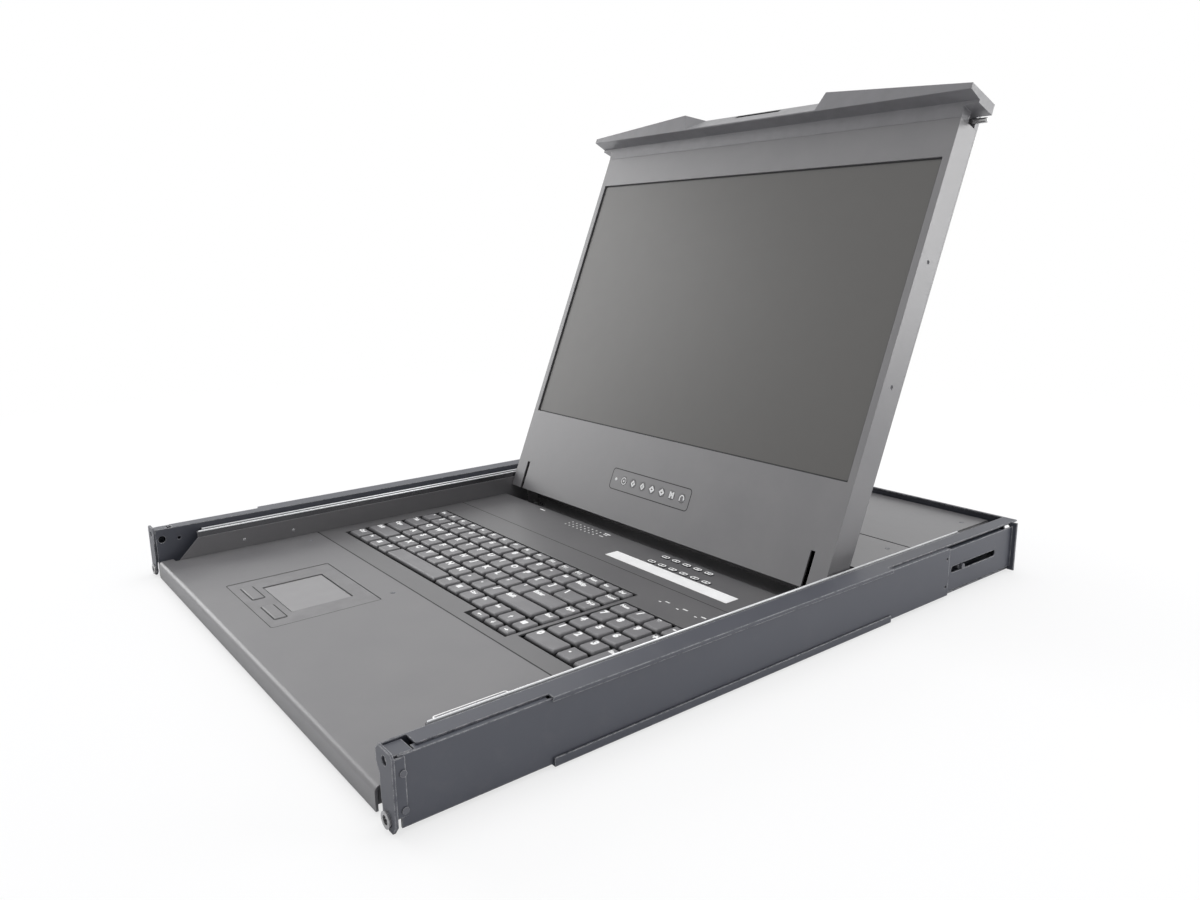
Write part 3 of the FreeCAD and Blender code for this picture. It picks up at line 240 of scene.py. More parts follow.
def coat_group():
    """Powder coat: fine orange peel, faint handling marks, and lighter edges that are partly wear and partly
    painted highlight along the folded bends.
    """
    tree, given, out = group("Powder Coat", SURFACE, Colour=(0.05, 0.05, 0.05, 1), Edge=0.0, Wear=0.5,
                             Dust=0.3, Grain=1.0, Rough=0.3)
    place = place_on(tree)
    peel = noise(tree, place, scale=1500.0, detail=2.0)
    mottle = noise(tree, place, scale=22.0, detail=4.0, rough=0.6)
    marks = noise(tree, place, scale=70.0, detail=6.0, rough=0.7)
    chips = noise(tree, place, scale=260.0, detail=5.0, rough=0.7)
    darker, lighter = (0.93, 0.93, 0.94, 1), (1.06, 1.06, 1.05, 1)
    dust, bare_and_highlight = (0.30, 0.29, 0.28, 1), (0.42, 0.42, 0.43, 1)
    dusty = times(tree, ramp(tree, 0.52, 0.78, marks), given["Dust"])
    tone = mix_colour(tree, ramp(tree, 0.3, 0.7, mottle), darker, lighter)
    base = mix_colour(tree, 1.0, given["Colour"], tone, "MULTIPLY")
    base = mix_colour(tree, times(tree, dusty, 0.12), base, dust)
    # Lighter edges: partly worn coat, partly painted highlight along the folded bends.
    worn_and_highlit = times(tree, times(tree, given["Edge"], ramp(tree, 0.34, 0.56, chips)), given["Wear"])
    rough = plus(tree, plus(tree, times(tree, mottle, 0.12), given["Rough"]), times(tree, dusty, 0.18))
    give(tree, out, Colour=mix_colour(tree, worn_and_highlit, base, bare_and_highlight), Roughness=rough,
         Height=times(tree, peel, given["Grain"]))
    return tree


def metal_group():
    """Plated or drawn metal: streaks along the length and dull patches."""
    tree, given, out = group("Drawn Metal", SURFACE, Colour=(0.6, 0.6, 0.6, 1), Streak=0.5, Tarnish=0.3)
    place = place_on(tree)
    stretch = add(tree, "ShaderNodeMapping", Scale=(700.0, 9.0, 700.0))
    give(tree, stretch, Vector=place)
    lines = noise(tree, stretch.outputs[0], scale=1.0)
    patch = noise(tree, place, scale=55.0, detail=5.0, rough=0.65)
    tarnish = (0.36, 0.35, 0.33, 1)
    dull = times(tree, ramp(tree, 0.45, 0.7, patch), given["Tarnish"])
    streak = times(tree, lines, given["Streak"])
    rough = plus(tree, plus(tree, times(tree, streak, 0.22), 0.20), times(tree, dull, 0.3))
    give(tree, out, Colour=mix_colour(tree, dull, given["Colour"], tarnish), Roughness=rough, Height=streak)
    return tree


def mould_group():
    """Moulded plastic: spark-eroded grain with polish where hands rub."""
    tree, given, out = group("Moulded Plastic", SURFACE, Colour=(0.05, 0.05, 0.05, 1), Edge=0.0, Gloss=0.5,
                             Grain=1.0, Rub=1.0)
    place = place_on(tree)
    cells = add(tree, "ShaderNodeTexVoronoi", Scale=1800.0)
    give(tree, cells, Vector=place)
    rub = noise(tree, place, scale=60.0, detail=4.0, rough=0.6)
    polished, scuffed = (1.14, 1.14, 1.14, 1), (0.32, 0.32, 0.33, 1)
    rubbed = times(tree, ramp(tree, 0.35, 0.7, rub), given["Rub"])
    bright = mix_colour(tree, 1.0, given["Colour"], polished, "MULTIPLY")
    base = mix_colour(tree, rubbed, given["Colour"], bright)
    base = mix_colour(tree, times(tree, given["Edge"], 0.16), base, scuffed)
    rough = math_node(tree, "SUBTRACT", 0.62, times(tree, given["Gloss"], 0.3))
    rough = plus(tree, rough, times(tree, rubbed, -0.08))
    give(tree, out, Colour=base, Roughness=rough,
         Height=times(tree, cells.outputs["Distance"], given["Grain"]))
    return tree


GROUPS = {}


def shared(name):
    """Shared effect group, built on first use."""
    makers = {"edge": edge_group, "coat": coat_group, "metal": metal_group, "mould": mould_group}
    if name not in GROUPS:
        GROUPS[name] = makers[name]()
    return GROUPS[name]


def shade(rgb, share):
    """A colour made darker or lighter."""
    return tuple(channel * share for channel in rgb)


def four(rgb):
    """A colour with its alpha."""
    return (*rgb, 1.0)


def finish(name, effect, rgb, depth=0.02 * MM, edge=1.0, metallic=0.0, coat=0.0, ior=1.5, **settings):
    """Material from one shared effect, with rounded edges and a bump of the given depth."""
    made = bpy.data.materials.new(name)
    made.use_nodes = True
    made.diffuse_color = four(rgb)
    tree = made.node_tree
    shader = tree.nodes["Principled BSDF"]
    shader.inputs["Metallic"].default_value = metallic
    shader.inputs["Coat Weight"].default_value = coat
    shader.inputs["IOR"].default_value = ior
    look = add(tree, "ShaderNodeGroup", node_tree=shared(effect), Colour=four(rgb), **settings)
    bump = add(tree, "ShaderNodeBump", Strength=1.0, Distance=depth)
    if edge > 0:
        rim = add(tree, "ShaderNodeGroup", node_tree=shared("edge"), Radius=sizes().edge * edge)
        give(tree, bump, Normal=rim.outputs["Normal"])
        if "Edge" in look.inputs:
            give(tree, look, Edge=rim.outputs["Edge"])
    give(tree, bump, Height=look.outputs["Height"])
    give(tree, shader, Base_Color=look.outputs["Colour"], Roughness=look.outputs["Roughness"],
         Normal=bump.outputs["Normal"])
    return made


MATERIALS = {}
# The first share darkens a copy of the tray coat: painted shade from the display lid on the panel and keyboard
# frame.
# The second share brightens the zinc on the slide lips as painted highlight, partly real polish.
TRAY_PAINTED_SHADE, LIP_PAINTED_HIGHLIGHT = 0.72, 1.18


def build_finishes():
    """One material for each slot of the part, and those that only scene pieces use."""
    hue = colours()
    plans = {
        # The rail coat's widened lighter edges are partly wear and partly painted highlight along the bends.
        "black_sheet": ("Rail Powder Coat", "coat", hue.rail,
                        dict(Wear=1.0, Dust=0.5, Rough=0.42, edge=2.4, ior=1.68)),
        "tray_sheet": ("Tray Powder Coat", "coat", hue.tray,
                       dict(Wear=0.35, Dust=0.25, ior=1.8)),
        # Darker copy of the tray coat for the control panel and keyboard frame: painted shade from the display
        # lid.
        "tray_sheet_painted_shade": ("Panel Powder Coat", "coat", shade(hue.tray, TRAY_PAINTED_SHADE),
                        dict(Wear=0.35, Dust=0.25, ior=1.8)),
        "zinc_screw": ("Zinc Screw", "metal", (0.46, 0.46, 0.47),
                       dict(metallic=1.0, Streak=0.2, Tarnish=0.6)),
        "zinc_rivet": ("Coated Rivet", "coat", (0.10, 0.103, 0.118), dict(Wear=1.0, Dust=0.4, Grain=0.8)),
        # The slide members' dark colour is painted shade between the lit lips, not the zinc's own colour.
        "slide_steel": ("Rolled Zinc Steel", "metal", (0.17, 0.17, 0.178),
                        dict(metallic=0.9, Streak=0.35, Tarnish=0.1, depth=0.002 * MM)),
        # Brighter copy of the zinc on the lips: painted highlight, partly real polish.
        "slide_lip_highlight": ("Polished Slide Lip", "metal", shade(hue.zinc, LIP_PAINTED_HIGHLIGHT),
                       dict(metallic=0.35, Streak=0.9, Tarnish=0.0, depth=0.0, edge=0.0)),
        "ball_steel": ("Polished Ball Steel", "metal", (0.68, 0.68, 0.69),
                       dict(metallic=1.0, Streak=0.05, Tarnish=0.1)),
        "pad_plastic": ("Touchpad Surround", "mould", (0.165, 0.162, 0.166),
                        dict(Gloss=0.6, ior=1.65)),
        "pad_surface": ("Touch Surface", "mould", (0.265, 0.260, 0.264),
                        dict(Gloss=0.6, Grain=0.4, Rub=0.3, ior=1.65)),
        "click_plastic": ("Click Button", "mould", (0.160, 0.157, 0.161),
                          dict(Gloss=0.75, Grain=0.6, ior=1.65)),
        "key_plastic": ("Keycap Plastic", "mould", hue.keys, dict(Gloss=0.7, Grain=0.8, ior=1.65)),
        "key_bed": ("Key Bed Plastic", "mould", (0.018, 0.018, 0.02), dict(Gloss=0.2)),
        "port_plastic": ("Port Button Plastic", "mould", (0.04, 0.04, 0.043), dict(Gloss=0.6, Grain=0.4)),
        "lamp_lens": ("Lamp Lens", "mould", (0.86, 0.87, 0.85), dict(Gloss=1.0, Grain=0.1, coat=0.4)),
        "board_laminate": ("Board Laminate", "mould", (0.02, 0.12, 0.05), dict(Gloss=0.9, Grain=0.6)),
        "bare_steel": ("Bare Hinge Steel", "metal", (0.45, 0.45, 0.46),
                       dict(metallic=1.0, Streak=0.4, Tarnish=0.7)),
        "supply_case": ("Folded Aluminium", "metal", (0.6, 0.6, 0.61),
                        dict(metallic=1.0, Streak=0.5, Tarnish=0.3)),
        "socket_shell": ("Socket Insulator", "mould", (0.03, 0.03, 0.033), dict(Gloss=0.5, Grain=0.6)),
        "screen_glass": ("Display Surface", "mould", hue.screen,
                         dict(Gloss=0.9, Grain=0.4, Rub=0.2, depth=0.006 * MM, edge=0.0)),
        "panel_frame": ("Display Panel Frame", "mould", (0.015, 0.015, 0.016), dict(Gloss=0.3)),
        "menu_plastic": ("Menu Button Plastic", "mould", (0.115, 0.112, 0.117),
                         dict(Gloss=0.7, Grain=0.3, ior=1.65)),
        "grip_plastic": ("Grip Moulding", "mould", (0.150, 0.148, 0.156),
                         dict(Gloss=0.7, Grain=1.2, ior=1.65)),
        "release_plastic": ("Release Slider", "mould", (0.015, 0.015, 0.017), dict(Gloss=0.5, Grain=0.6)),
        "pin_steel": ("Latch Pin Steel", "metal", (0.5, 0.5, 0.5),
                      dict(metallic=1.0, Streak=0.3, Tarnish=0.5)),
        "print_white": ("White Printing", "mould", hue.ink,
                        dict(Gloss=0.3, Grain=0.3, Rub=0.0, edge=0.0)),
        "label_paper": ("Blank Label Paper", "mould", (0.94, 0.94, 0.93),
                        dict(Gloss=0.2, Grain=0.8, edge=0.0)),
        "clear_film": ("Clear Label Film", "mould", (0.185, 0.182, 0.187),
                       dict(Gloss=1.0, Grain=0.2, edge=0.0)),
        "dark_gap": ("Dark Recess", "mould", (0.006, 0.006, 0.007),
                     dict(Gloss=0.1, Grain=0.5, edge=0.0)),
    }
    for slot, (name, effect, rgb, settings) in plans.items():
        MATERIALS[slot] = finish(name, effect, tuple(rgb), **settings)


# ---- mesh helpers

# Covers that take the darker copy of the tray coat, as painted shade from the display lid.
PAINTED_SHADE_SHEETS = ("control_panel", "keyboard_frame")


def dress(piece, slot):
    """Give a piece its finish."""
    piece.data.materials.clear()
    piece.data.materials.append(MATERIALS[slot])


def new_piece(name, mesh, slot, body, replaces=()):
    """Link a finished bmesh as a named piece riding on a body."""
    data = bpy.data.meshes.new(name)
    mesh.to_mesh(data)
    mesh.free()
    piece = bpy.data.objects.new(name, data)
    bpy.context.scene.collection.objects.link(piece)
    dress(piece, slot)
    for node in replaces:
        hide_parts(node)
    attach(piece, body)
    return piece


def soften(piece):
    """Smooth shading that leaves the flats flat."""
    piece.data.shade_smooth()
    piece.modifiers.new("normals", "WEIGHTED_NORMAL").keep_sharp = True


def print_piece(name, mesh, slot, body, place=None):
    """Flat printing turned face up and carried to its place, as a piece."""
    mesh.normal_update()
    for face in mesh.faces:
        if face.normal.z < 0:
            face.normal_flip()
    if place is not None:
        bmesh.ops.transform(mesh, matrix=place, verts=mesh.verts)
    return new_piece(name, mesh, slot, body)


def join(whole, part):
    """Add a small mesh to a larger one and free it."""
    shape = bpy.data.meshes.new("part")
    part.to_mesh(shape)
    part.free()
    whole.from_mesh(shape)
    bpy.data.meshes.remove(shape)


def corners_of(geom):
    """Corners among what an operator returns."""
    return [item for item in geom if isinstance(item, bmesh.types.BMVert)]


def links_of(verts, kind):
    """Edges or faces that meet at any of the corners, each once."""
    return list({item for vert in verts for item in getattr(vert, kind)})


def sharp_edges(mesh, degrees):
    """Closed edges that turn by more than an angle."""
    return [edge for edge in mesh.edges if len(edge.link_faces) == 2
            and edge.calc_face_angle(0.0) > math.radians(degrees)]


def middle_of(low, high):
    """Centre and half size of a box."""
    return (low + high) / 2, (high - low) / 2


def quarter(turns, axis):
    """Turn by a number of quarters round an axis."""
    return Matrix.Rotation(turns * math.pi / 2, 4, axis)


def islands(node):
    """Lowest and highest corner of every separate solid in a node."""
    mesh = bmesh.new()
    mesh.from_mesh(NODES[node].data)
    bmesh.ops.remove_doubles(mesh, verts=mesh.verts, dist=0.01 * MM)
    left, found = set(mesh.verts), []
    while left:
        stack = [left.pop()]
        part = list(stack)
        while stack:
            for edge in stack.pop().link_edges:
                for vert in edge.verts:
                    if vert in left:
                        left.discard(vert)
                        stack.append(vert)
                        part.append(vert)
        low = Vector([min(vert.co[axis] for vert in part) for axis in range(3)])
        high = Vector([max(vert.co[axis] for vert in part) for axis in range(3)])
        found.append((low, high))
    mesh.free()
    return sorted(found, key=lambda pair: (round(pair[0].y, 3), pair[0].x))


ROUND_SIDES = 24


def rounded(mesh, centre, half_wide, half_tall, radius, cap=True):
    """Flat rounded plate; returns its corners."""
    half_side = Matrix.Rotation(math.pi / ROUND_SIDES, 4, "Z")
    verts = bmesh.ops.create_circle(mesh, cap_ends=cap, segments=ROUND_SIDES, radius=radius,
                                    matrix=half_side)["verts"]
    for vert in verts:
        vert.co.x += math.copysign(half_wide - radius, vert.co.x)
        vert.co.y += math.copysign(half_tall - radius, vert.co.y)
    bmesh.ops.translate(mesh, verts=verts, vec=centre)
    return verts


def ring(mesh, centre, half_wide, half_tall, radius, thick):
    """Flat outline around a rounded shape."""
    verts = rounded(mesh, (0, 0, 0), half_wide, half_tall, radius, cap=False)
    outer = corners_of(bmesh.ops.extrude_edge_only(mesh, edges=links_of(verts, "link_edges"))["geom"])
    for vert in outer:
        corner = Vector((math.copysign(half_wide - radius, vert.co.x),
                         math.copysign(half_tall - radius, vert.co.y), 0))
        vert.co += (vert.co - corner).normalized() * thick
    bmesh.ops.translate(mesh, verts=verts + outer, vec=centre)
    return verts + outer


def polygon(mesh, corners, height):
    """Flat face through a few corners."""
    mesh.faces.new([mesh.verts.new((x, y, height)) for x, y in corners])


FONT_SCALE, FONT_WEIGHT = 1.35, 0.09


def write(mesh, words, centre, height, align="CENTER"):
    """Characters laid flat at a place; the font's size and weight follow their height."""
    curve = bpy.data.curves.new("words", "FONT")
    curve.body = words
    curve.size = height * FONT_SCALE
    curve.resolution_u = 2
    curve.offset = height * FONT_WEIGHT
    curve.align_x = align
    curve.align_y = "CENTER"
    holder = bpy.data.objects.new("words", curve)
    flat = bpy.data.meshes.new_from_object(holder)
    flat.transform(Matrix.Translation(centre))
    mesh.from_mesh(flat)
    bpy.data.objects.remove(holder)
    bpy.data.curves.remove(curve)
    bpy.data.meshes.remove(flat)


ARROW_HEAD = [(-0.5, 0.0), (0.5, 0.0), (0.0, 0.7)]
ARROW_TAIL = [(-0.14, -0.7), (0.14, -0.7), (0.14, 0.0), (-0.14, 0.0)]


def arrow(mesh, centre, reach, turn):
    """Small arrow: head and tail."""
    spin = Matrix.Rotation(turn, 3, "Z")
    for shape in (ARROW_HEAD, ARROW_TAIL):
        placed = [spin @ Vector((x * reach, y * reach, 0)) + Vector(centre) for x, y in shape]
        polygon(mesh, [(point.x, point.y) for point in placed], centre[2])


def edged_copy(node, radius):
    """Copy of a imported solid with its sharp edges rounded."""
    mesh = bmesh.new()
    mesh.from_mesh(NODES[node].data)
    bmesh.ops.remove_doubles(mesh, verts=mesh.verts, dist=0.02 * MM)
    bmesh.ops.dissolve_limit(mesh, angle_limit=math.radians(1.0), verts=mesh.verts, edges=mesh.edges)
    bmesh.ops.bevel(mesh, geom=sharp_edges(mesh, 24), offset=radius, offset_type="OFFSET", affect="EDGES",
                    segments=3, profile=0.5, material=-1, clamp_overlap=True)
    return mesh


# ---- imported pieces

class FinishNodes(bpy.types.Operator):
    """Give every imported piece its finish"""
    bl_idname = "console.finish_nodes"
    bl_label = "Finish packed pieces"

    def execute(self, context):
        build_finishes()
        for node, piece in NODES.items():
            # The control panel and keyboard frame get painted shade: a darker copy of the tray coat.
            dress(piece, "tray_sheet_painted_shade" if node in PAINTED_SHADE_SHEETS else SLOT_OF[node])
        return {"FINISHED"}


# ---- keycaps

KEY_ROWS = {
    "keys_function_row": "Esc F1 F2 F3 F4 F5 F6 F7 F8 F9 F10 F11 F12 Num Ins Del".split(),
    "keys_number_row": "` 1 2 3 4 5 6 7 8 9 0 - = BkSp Home".split(),
    "keys_upper_row": "Tab Q W E R T Y U I O P [ ] \\ PgUp".split(),
    "keys_home_row": "Caps A S D F G H J K L ; ' Enter PgDn".split(),
    "keys_lower_row": "Shift Z X C V B N M , . / Shift End".split(),
    "keys_bottom_row": "< v > Ctrl Fn # Alt Alt # Ctrl Fn Ins ^ :".split(),
    "key_space": [" "],
    "keys_number_pad": "0 . Enter 1 2 3 4 5 6 + 7 8 9 Num / * -".split(),
}
TURNS = {"^": 0.0, "<": math.pi / 2, "v": math.pi, ">": -math.pi / 2}
CAP_TALL = 4.5 * MM
CAP_EDGE = 0.55 * MM
SIDE_LEAN, FRONT_LEAN, BACK_LEAN = 1.8 * MM, 3.0 * MM, 0.8 * MM
HOLLOW, CROWN = 0.55 * MM, 0.1 * MM
NARROW_CAP, LONG_BAR = 20 * MM, 40 * MM
LETTER_IN, WORD_IN, LEGEND_BACK = 5.6 * MM, 3.0 * MM, 5.4 * MM
BADGE_PLACE = Vector((-2 * MM, 1.5 * MM, 0))
# Shares of the legend height.
ARROW_SHARE, BADGE_SHARE, BADGE_CORNER, WORD_SHARE, WIDE_WORD_SHARE = 0.6, 0.42, 0.1, 0.56, 0.72


def dish(low, high, x):
    """Height of a keycap's hollowed top at one place across it; a long bar is crowned instead."""
    half = (high.x - low.x) / 2
    along = min(abs(x - low.x - half) / half, 1.0)
    hollow = HOLLOW if high.x - low.x < LONG_BAR else -CROWN
    return high.z - hollow * (1.0 - along * along)


class MouldKeys(bpy.types.Operator):
    """Keycaps with hollowed tops, long front slopes and soft corners, and their printed legends"""
    bl_idname = "console.mould_keys"
    bl_label = "Keycaps"

    def execute(self, context):
        for node, words in KEY_ROWS.items():
            caps, legends = bmesh.new(), bmesh.new()
            places = islands(node)
            if len(places) != len(words):
                raise RuntimeError(f"{node} has {len(places)} caps for {len(words)} legends")
            for (low, high), word in zip(places, words):
                join(caps, self.mould(low, high))
                if word.strip():
                    join(legends, self.legend(low, high, word))
            soften(new_piece(f"caps_{node}", caps, "key_plastic", BODY_OF[node], [node]))
            if legends.faces:
                print_piece(f"legends_{node}", legends, "print_white", BODY_OF[node])
            else:
                legends.free()
        return {"FINISHED"}

    def mould(self, low, high):
        """One keycap from a block: tapered, hollowed and rounded."""
        cap = bmesh.new()
        wide, deep = high.x - low.x, high.y - low.y
        centre = Vector(((low.x + high.x) / 2, (low.y + high.y) / 2, high.z - CAP_TALL / 2))
        bmesh.ops.create_cube(cap, size=1.0)
        bmesh.ops.scale(cap, verts=cap.verts, vec=(wide, deep, CAP_TALL))
        bmesh.ops.translate(cap, verts=cap.verts, vec=centre)
        for vert in cap.verts:
            if vert.co.z > centre.z:
                vert.co.x -= math.copysign(SIDE_LEAN, vert.co.x - centre.x)
                vert.co.y += FRONT_LEAN if vert.co.y < centre.y else -BACK_LEAN
        across = [edge for edge in cap.edges if abs(edge.verts[0].co.x - edge.verts[1].co.x) > wide / 2]
        bmesh.ops.subdivide_edges(cap, edges=across, cuts=4, use_grid_fill=True)
        for vert in cap.verts:
            if vert.co.z > centre.z:
                vert.co.z = dish(low, high, vert.co.x)
        rims = [edge for edge in sharp_edges(cap, 35) if max(vert.co.z for vert in edge.verts) > centre.z]
        bmesh.ops.bevel(cap, geom=rims, offset=CAP_EDGE, offset_type="OFFSET", affect="EDGES", segments=2,
                        profile=0.5, material=-1, clamp_overlap=True)
        return cap

    def legend(self, low, high, word):
        """One keycap's legend near its rear left corner, laid on the hollow."""
        tall = sizes().legend
        flat = bmesh.new()
        middle = Vector(((low.x + high.x) / 2, (low.y + high.y) / 2, 0))
        if word in TURNS:
            arrow(flat, tuple(middle), tall * ARROW_SHARE, TURNS[word])
        elif word in "#:":
            badge = tall * BADGE_SHARE
            rounded(flat, middle + BADGE_PLACE, badge, badge, tall * BADGE_CORNER)
        elif len(word) == 1:
            write(flat, word, Vector((low.x + LETTER_IN, high.y - LEGEND_BACK, 0)), tall)
        else:
            small = tall * (WORD_SHARE if high.x - low.x < NARROW_CAP else WIDE_WORD_SHARE)
            write(flat, word, Vector((low.x + WORD_IN, high.y - LEGEND_BACK, 0)), small, "LEFT")
        for vert in flat.verts:
            vert.co.z = dish(low, high, vert.co.x) + sizes().ink
        return flat


# ---- printing

# Each mark, label or outline: half width, half height, corner radius and, for an outline, line width.
PORT_NUMBER, PORT_LINE = 2.3 * MM, 1.1 * MM
STATUS_X, STATUS_Y, STATUS_LEFT = (132.0 * MM, 151.2 * MM, 170.4 * MM), 272.8 * MM, 5.2 * MM
STATUS_MARK = (1.3 * MM, 0.5 * MM, 0.3 * MM)
HEADINGS_X, HEADING_Y, HEADING = (-26.5 * MM, -132.7 * MM), 344.5 * MM, (4.2 * MM, 0.8 * MM, 0.4 * MM)
LINES_X, LINES_Y, LINE = -26.2 * MM, (336.5 * MM, 341.5 * MM), (3.0 * MM, 0.5 * MM, 0.3 * MM)
LABEL_X, LABEL_Y, LABEL, LABEL_THICK = 88.8 * MM, 314.6 * MM, (72.7 * MM, 6.8 * MM, 0.8 * MM), 0.16 * MM
FILM_X, FILM_Y, FILM = 183.0 * MM, 81.5 * MM, (10.5 * MM, 25.5 * MM, 1.0 * MM)
FILM_LIFT, FILM_THICK, RIM_LIFT = 0.02 * MM, 0.06 * MM, 0.12 * MM
RIM = (9.4 * MM, 24.4 * MM, 1.0 * MM, 1.0 * MM)
# Boxes on the film: middle along it, half length.
FILM_BOXES = ((-18.5 * MM, 3.2 * MM), (-8.5 * MM, 4.5 * MM), (3.5 * MM, 5.2 * MM))
BOX_X, BOX_HALF_WIDE, BOX_CORNER, BOX_LINE = FILM_X - 1.5 * MM, 4.8 * MM, 0.6 * MM, 0.7 * MM


def thicken(mesh, base, thick):
    """Give a flat label its thickness, standing on a surface."""
    raised = corners_of(bmesh.ops.extrude_face_region(mesh, geom=list(mesh.faces))["geom"])
    bmesh.ops.translate(mesh, verts=raised, vec=(0, 0, thick))
    bmesh.ops.recalc_face_normals(mesh, faces=mesh.faces)
    bmesh.ops.translate(mesh, verts=mesh.verts, vec=(0, 0, base))


class PrintPanel(bpy.types.Operator):
    """Port button outlines and numbers, lamp marks, the blank label and the bare clear film"""
    bl_idname = "console.print_panel"
    bl_label = "Control panel printing"

    def execute(self, context):
        ink = sizes().ink
        ports = bmesh.new()
        for at, (low, high) in enumerate(islands("port_buttons")):
            centre, half = middle_of(low, high)
            centre.z = high.z + ink
            ring(ports, centre, half.x - 1.2 * MM, half.y - 1.15 * MM, half.y - 1.2 * MM, PORT_LINE)
            write(ports, str(at + 1), centre, PORT_NUMBER)
        print_piece("port_printing", ports, "print_white", "port_keys")
        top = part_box("control_panel")[1].z + ink
        marks = bmesh.new()
        for x in STATUS_X:
            rounded(marks, (x - STATUS_LEFT, STATUS_Y, top), *STATUS_MARK)
        for x in HEADINGS_X:
            rounded(marks, (x, HEADING_Y, top), *HEADING)
        for y in LINES_Y:
            rounded(marks, (LINES_X, y, top), *LINE)
        print_piece("panel_marks", marks, "print_white", "drawer")
        strip = bmesh.new()
        rounded(strip, (LABEL_X, LABEL_Y, 0), *LABEL)
        thicken(strip, top, LABEL_THICK)
        new_piece("label_strip", strip, "label_paper", "drawer")
        self.film()
        return {"FINISHED"}

    def film(self):
        """Bare clear film at the palm rest's right edge, with its pale rim and empty boxes."""
        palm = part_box("palm_rest")[1].z
        film, rim = bmesh.new(), bmesh.new()
        rounded(film, (FILM_X, FILM_Y, 0), *FILM)
        thicken(film, palm + FILM_LIFT, FILM_THICK)
        new_piece("clear_film", film, "clear_film", "drawer")
        ring(rim, (FILM_X, FILM_Y, palm + RIM_LIFT), *RIM)
        for along, half_long in FILM_BOXES:
            place = (BOX_X, FILM_Y + along, palm + RIM_LIFT)
            ring(rim, place, BOX_HALF_WIDE, half_long, BOX_CORNER, BOX_LINE)
        print_piece("film_rim", rim, "print_white", "drawer")


MENU_ROW, MENU_FIRST, MENU_PITCH = 28.7 * MM, -36.4 * MM, 13.3 * MM
MENU_TURNS = (0.0, math.pi, math.pi / 2, -math.pi / 2)
TARGET, TARGET_LINE, TARGET_DOT = 2.8 * MM, 0.7 * MM, 0.9 * MM
DIAMOND_TALL, DIAMOND_WIDE, DIAMOND_NARROW, DIAMOND_ARROW = 3.5 * MM, 3.5 * MM, 2.9 * MM, 2.1 * MM
LETTER_TALL, ARCH, ARCH_GROWTH, ARCH_RISE = 5.4 * MM, 1.9 * MM, 1.55, 0.2 * MM
GROOVE_X, GROOVE = -0.8 * MM, (53.5 * MM, 9.5 * MM, 3.0 * MM, 0.9 * MM)
POWER_LAMP_X, POWER_LAMP, POWER_LAMP_LIFT = -47.8 * MM, 1.5 * MM, 0.04 * MM
# How far flat dark printing and joints stand above what they lie on.
JOINT_LIFT = 0.03 * MM


def top_of(node):
    """How far a node of the display reaches out of its face."""
    return max((LID.inverted() @ vert.co).z for vert in NODES[node].data.vertices)


class PrintMenu(bpy.types.Operator):
    """Menu symbols on the display's foot, the groove around them and the power lamp"""
    bl_idname = "console.print_menu"
    bl_label = "Menu printing"

    def execute(self, context):
        level = top_of("menu_buttons") + sizes().ink
        first, *diamonds, letter, last = [(MENU_FIRST + MENU_PITCH * at, MENU_ROW) for at in range(7)]
        signs, dark, groove, lamp = bmesh.new(), bmesh.new(), bmesh.new(), bmesh.new()
        ring(signs, (*first, level), TARGET, TARGET, TARGET, TARGET_LINE)
        rounded(signs, (*first, level), TARGET_DOT, TARGET_DOT, TARGET_DOT)
        for (x, y), turn in zip(diamonds, MENU_TURNS):
            reach = DIAMOND_NARROW if turn in (0.0, math.pi) else DIAMOND_WIDE
            polygon(signs, [(x - reach, y), (x, y - DIAMOND_TALL), (x + reach, y), (x, y + DIAMOND_TALL)],
                    level)
            arrow(dark, (x, y, level + JOINT_LIFT), DIAMOND_ARROW, turn)
        write(signs, "M", (*letter, level), LETTER_TALL)
        self.return_sign(signs, last, level)
        print_piece("menu_signs", signs, "print_white", "menu_keys", LID)
        print_piece("menu_arrows", dark, "panel_frame", "menu_keys", LID)
        face = top_of("lid_shell")
        ring(groove, (GROOVE_X, MENU_ROW, face + JOINT_LIFT), *GROOVE)
        print_piece("menu_groove", groove, "dark_gap", "display", LID)
        place = (POWER_LAMP_X, MENU_ROW, face + POWER_LAMP_LIFT)
        rounded(lamp, place, POWER_LAMP, POWER_LAMP, POWER_LAMP)
        print_piece("power_lamp", lamp, "print_white", "display", LID)
        return {"FINISHED"}

    def return_sign(self, mesh, centre, level):
        """Arrow that bends back on itself: arch, tail and head, small enough for the button's hole."""
        x, y = centre
        arch = bmesh.ops.create_circle(mesh, cap_ends=False, segments=ROUND_SIDES, radius=ARCH)["verts"]
        bmesh.ops.delete(mesh, geom=[vert for vert in arch if vert.co.y < -0.1 * MM], context="VERTS")
        arch = [vert for vert in arch if vert.is_valid]
        outer = corners_of(bmesh.ops.extrude_edge_only(mesh, edges=links_of(arch, "link_edges"))["geom"])
        bmesh.ops.scale(mesh, verts=outer, vec=(ARCH_GROWTH, ARCH_GROWTH, 1.0))
        bmesh.ops.translate(mesh, verts=arch + outer, vec=(x, y + ARCH_RISE, level))
        low, top, point, outside = y - 2.6 * MM, y + 0.3 * MM, y - 2.2 * MM, x - 2.94 * MM
        polygon(mesh, [(outside, low), (x - ARCH, low), (x - ARCH, top), (outside, top)], level)
        polygon(mesh, [(x + 1.2 * MM, top), (x + 3.6 * MM, top), (x + 2.4 * MM, point)], level)


# ---- joints

PAD_CORNER, PAD_JOINT, BUTTON_CORNER, BUTTON_JOINT, SEAM_CORNER = (
    2.0 * MM, 0.6 * MM, 0.8 * MM, 1.0 * MM, 0.2 * MM)
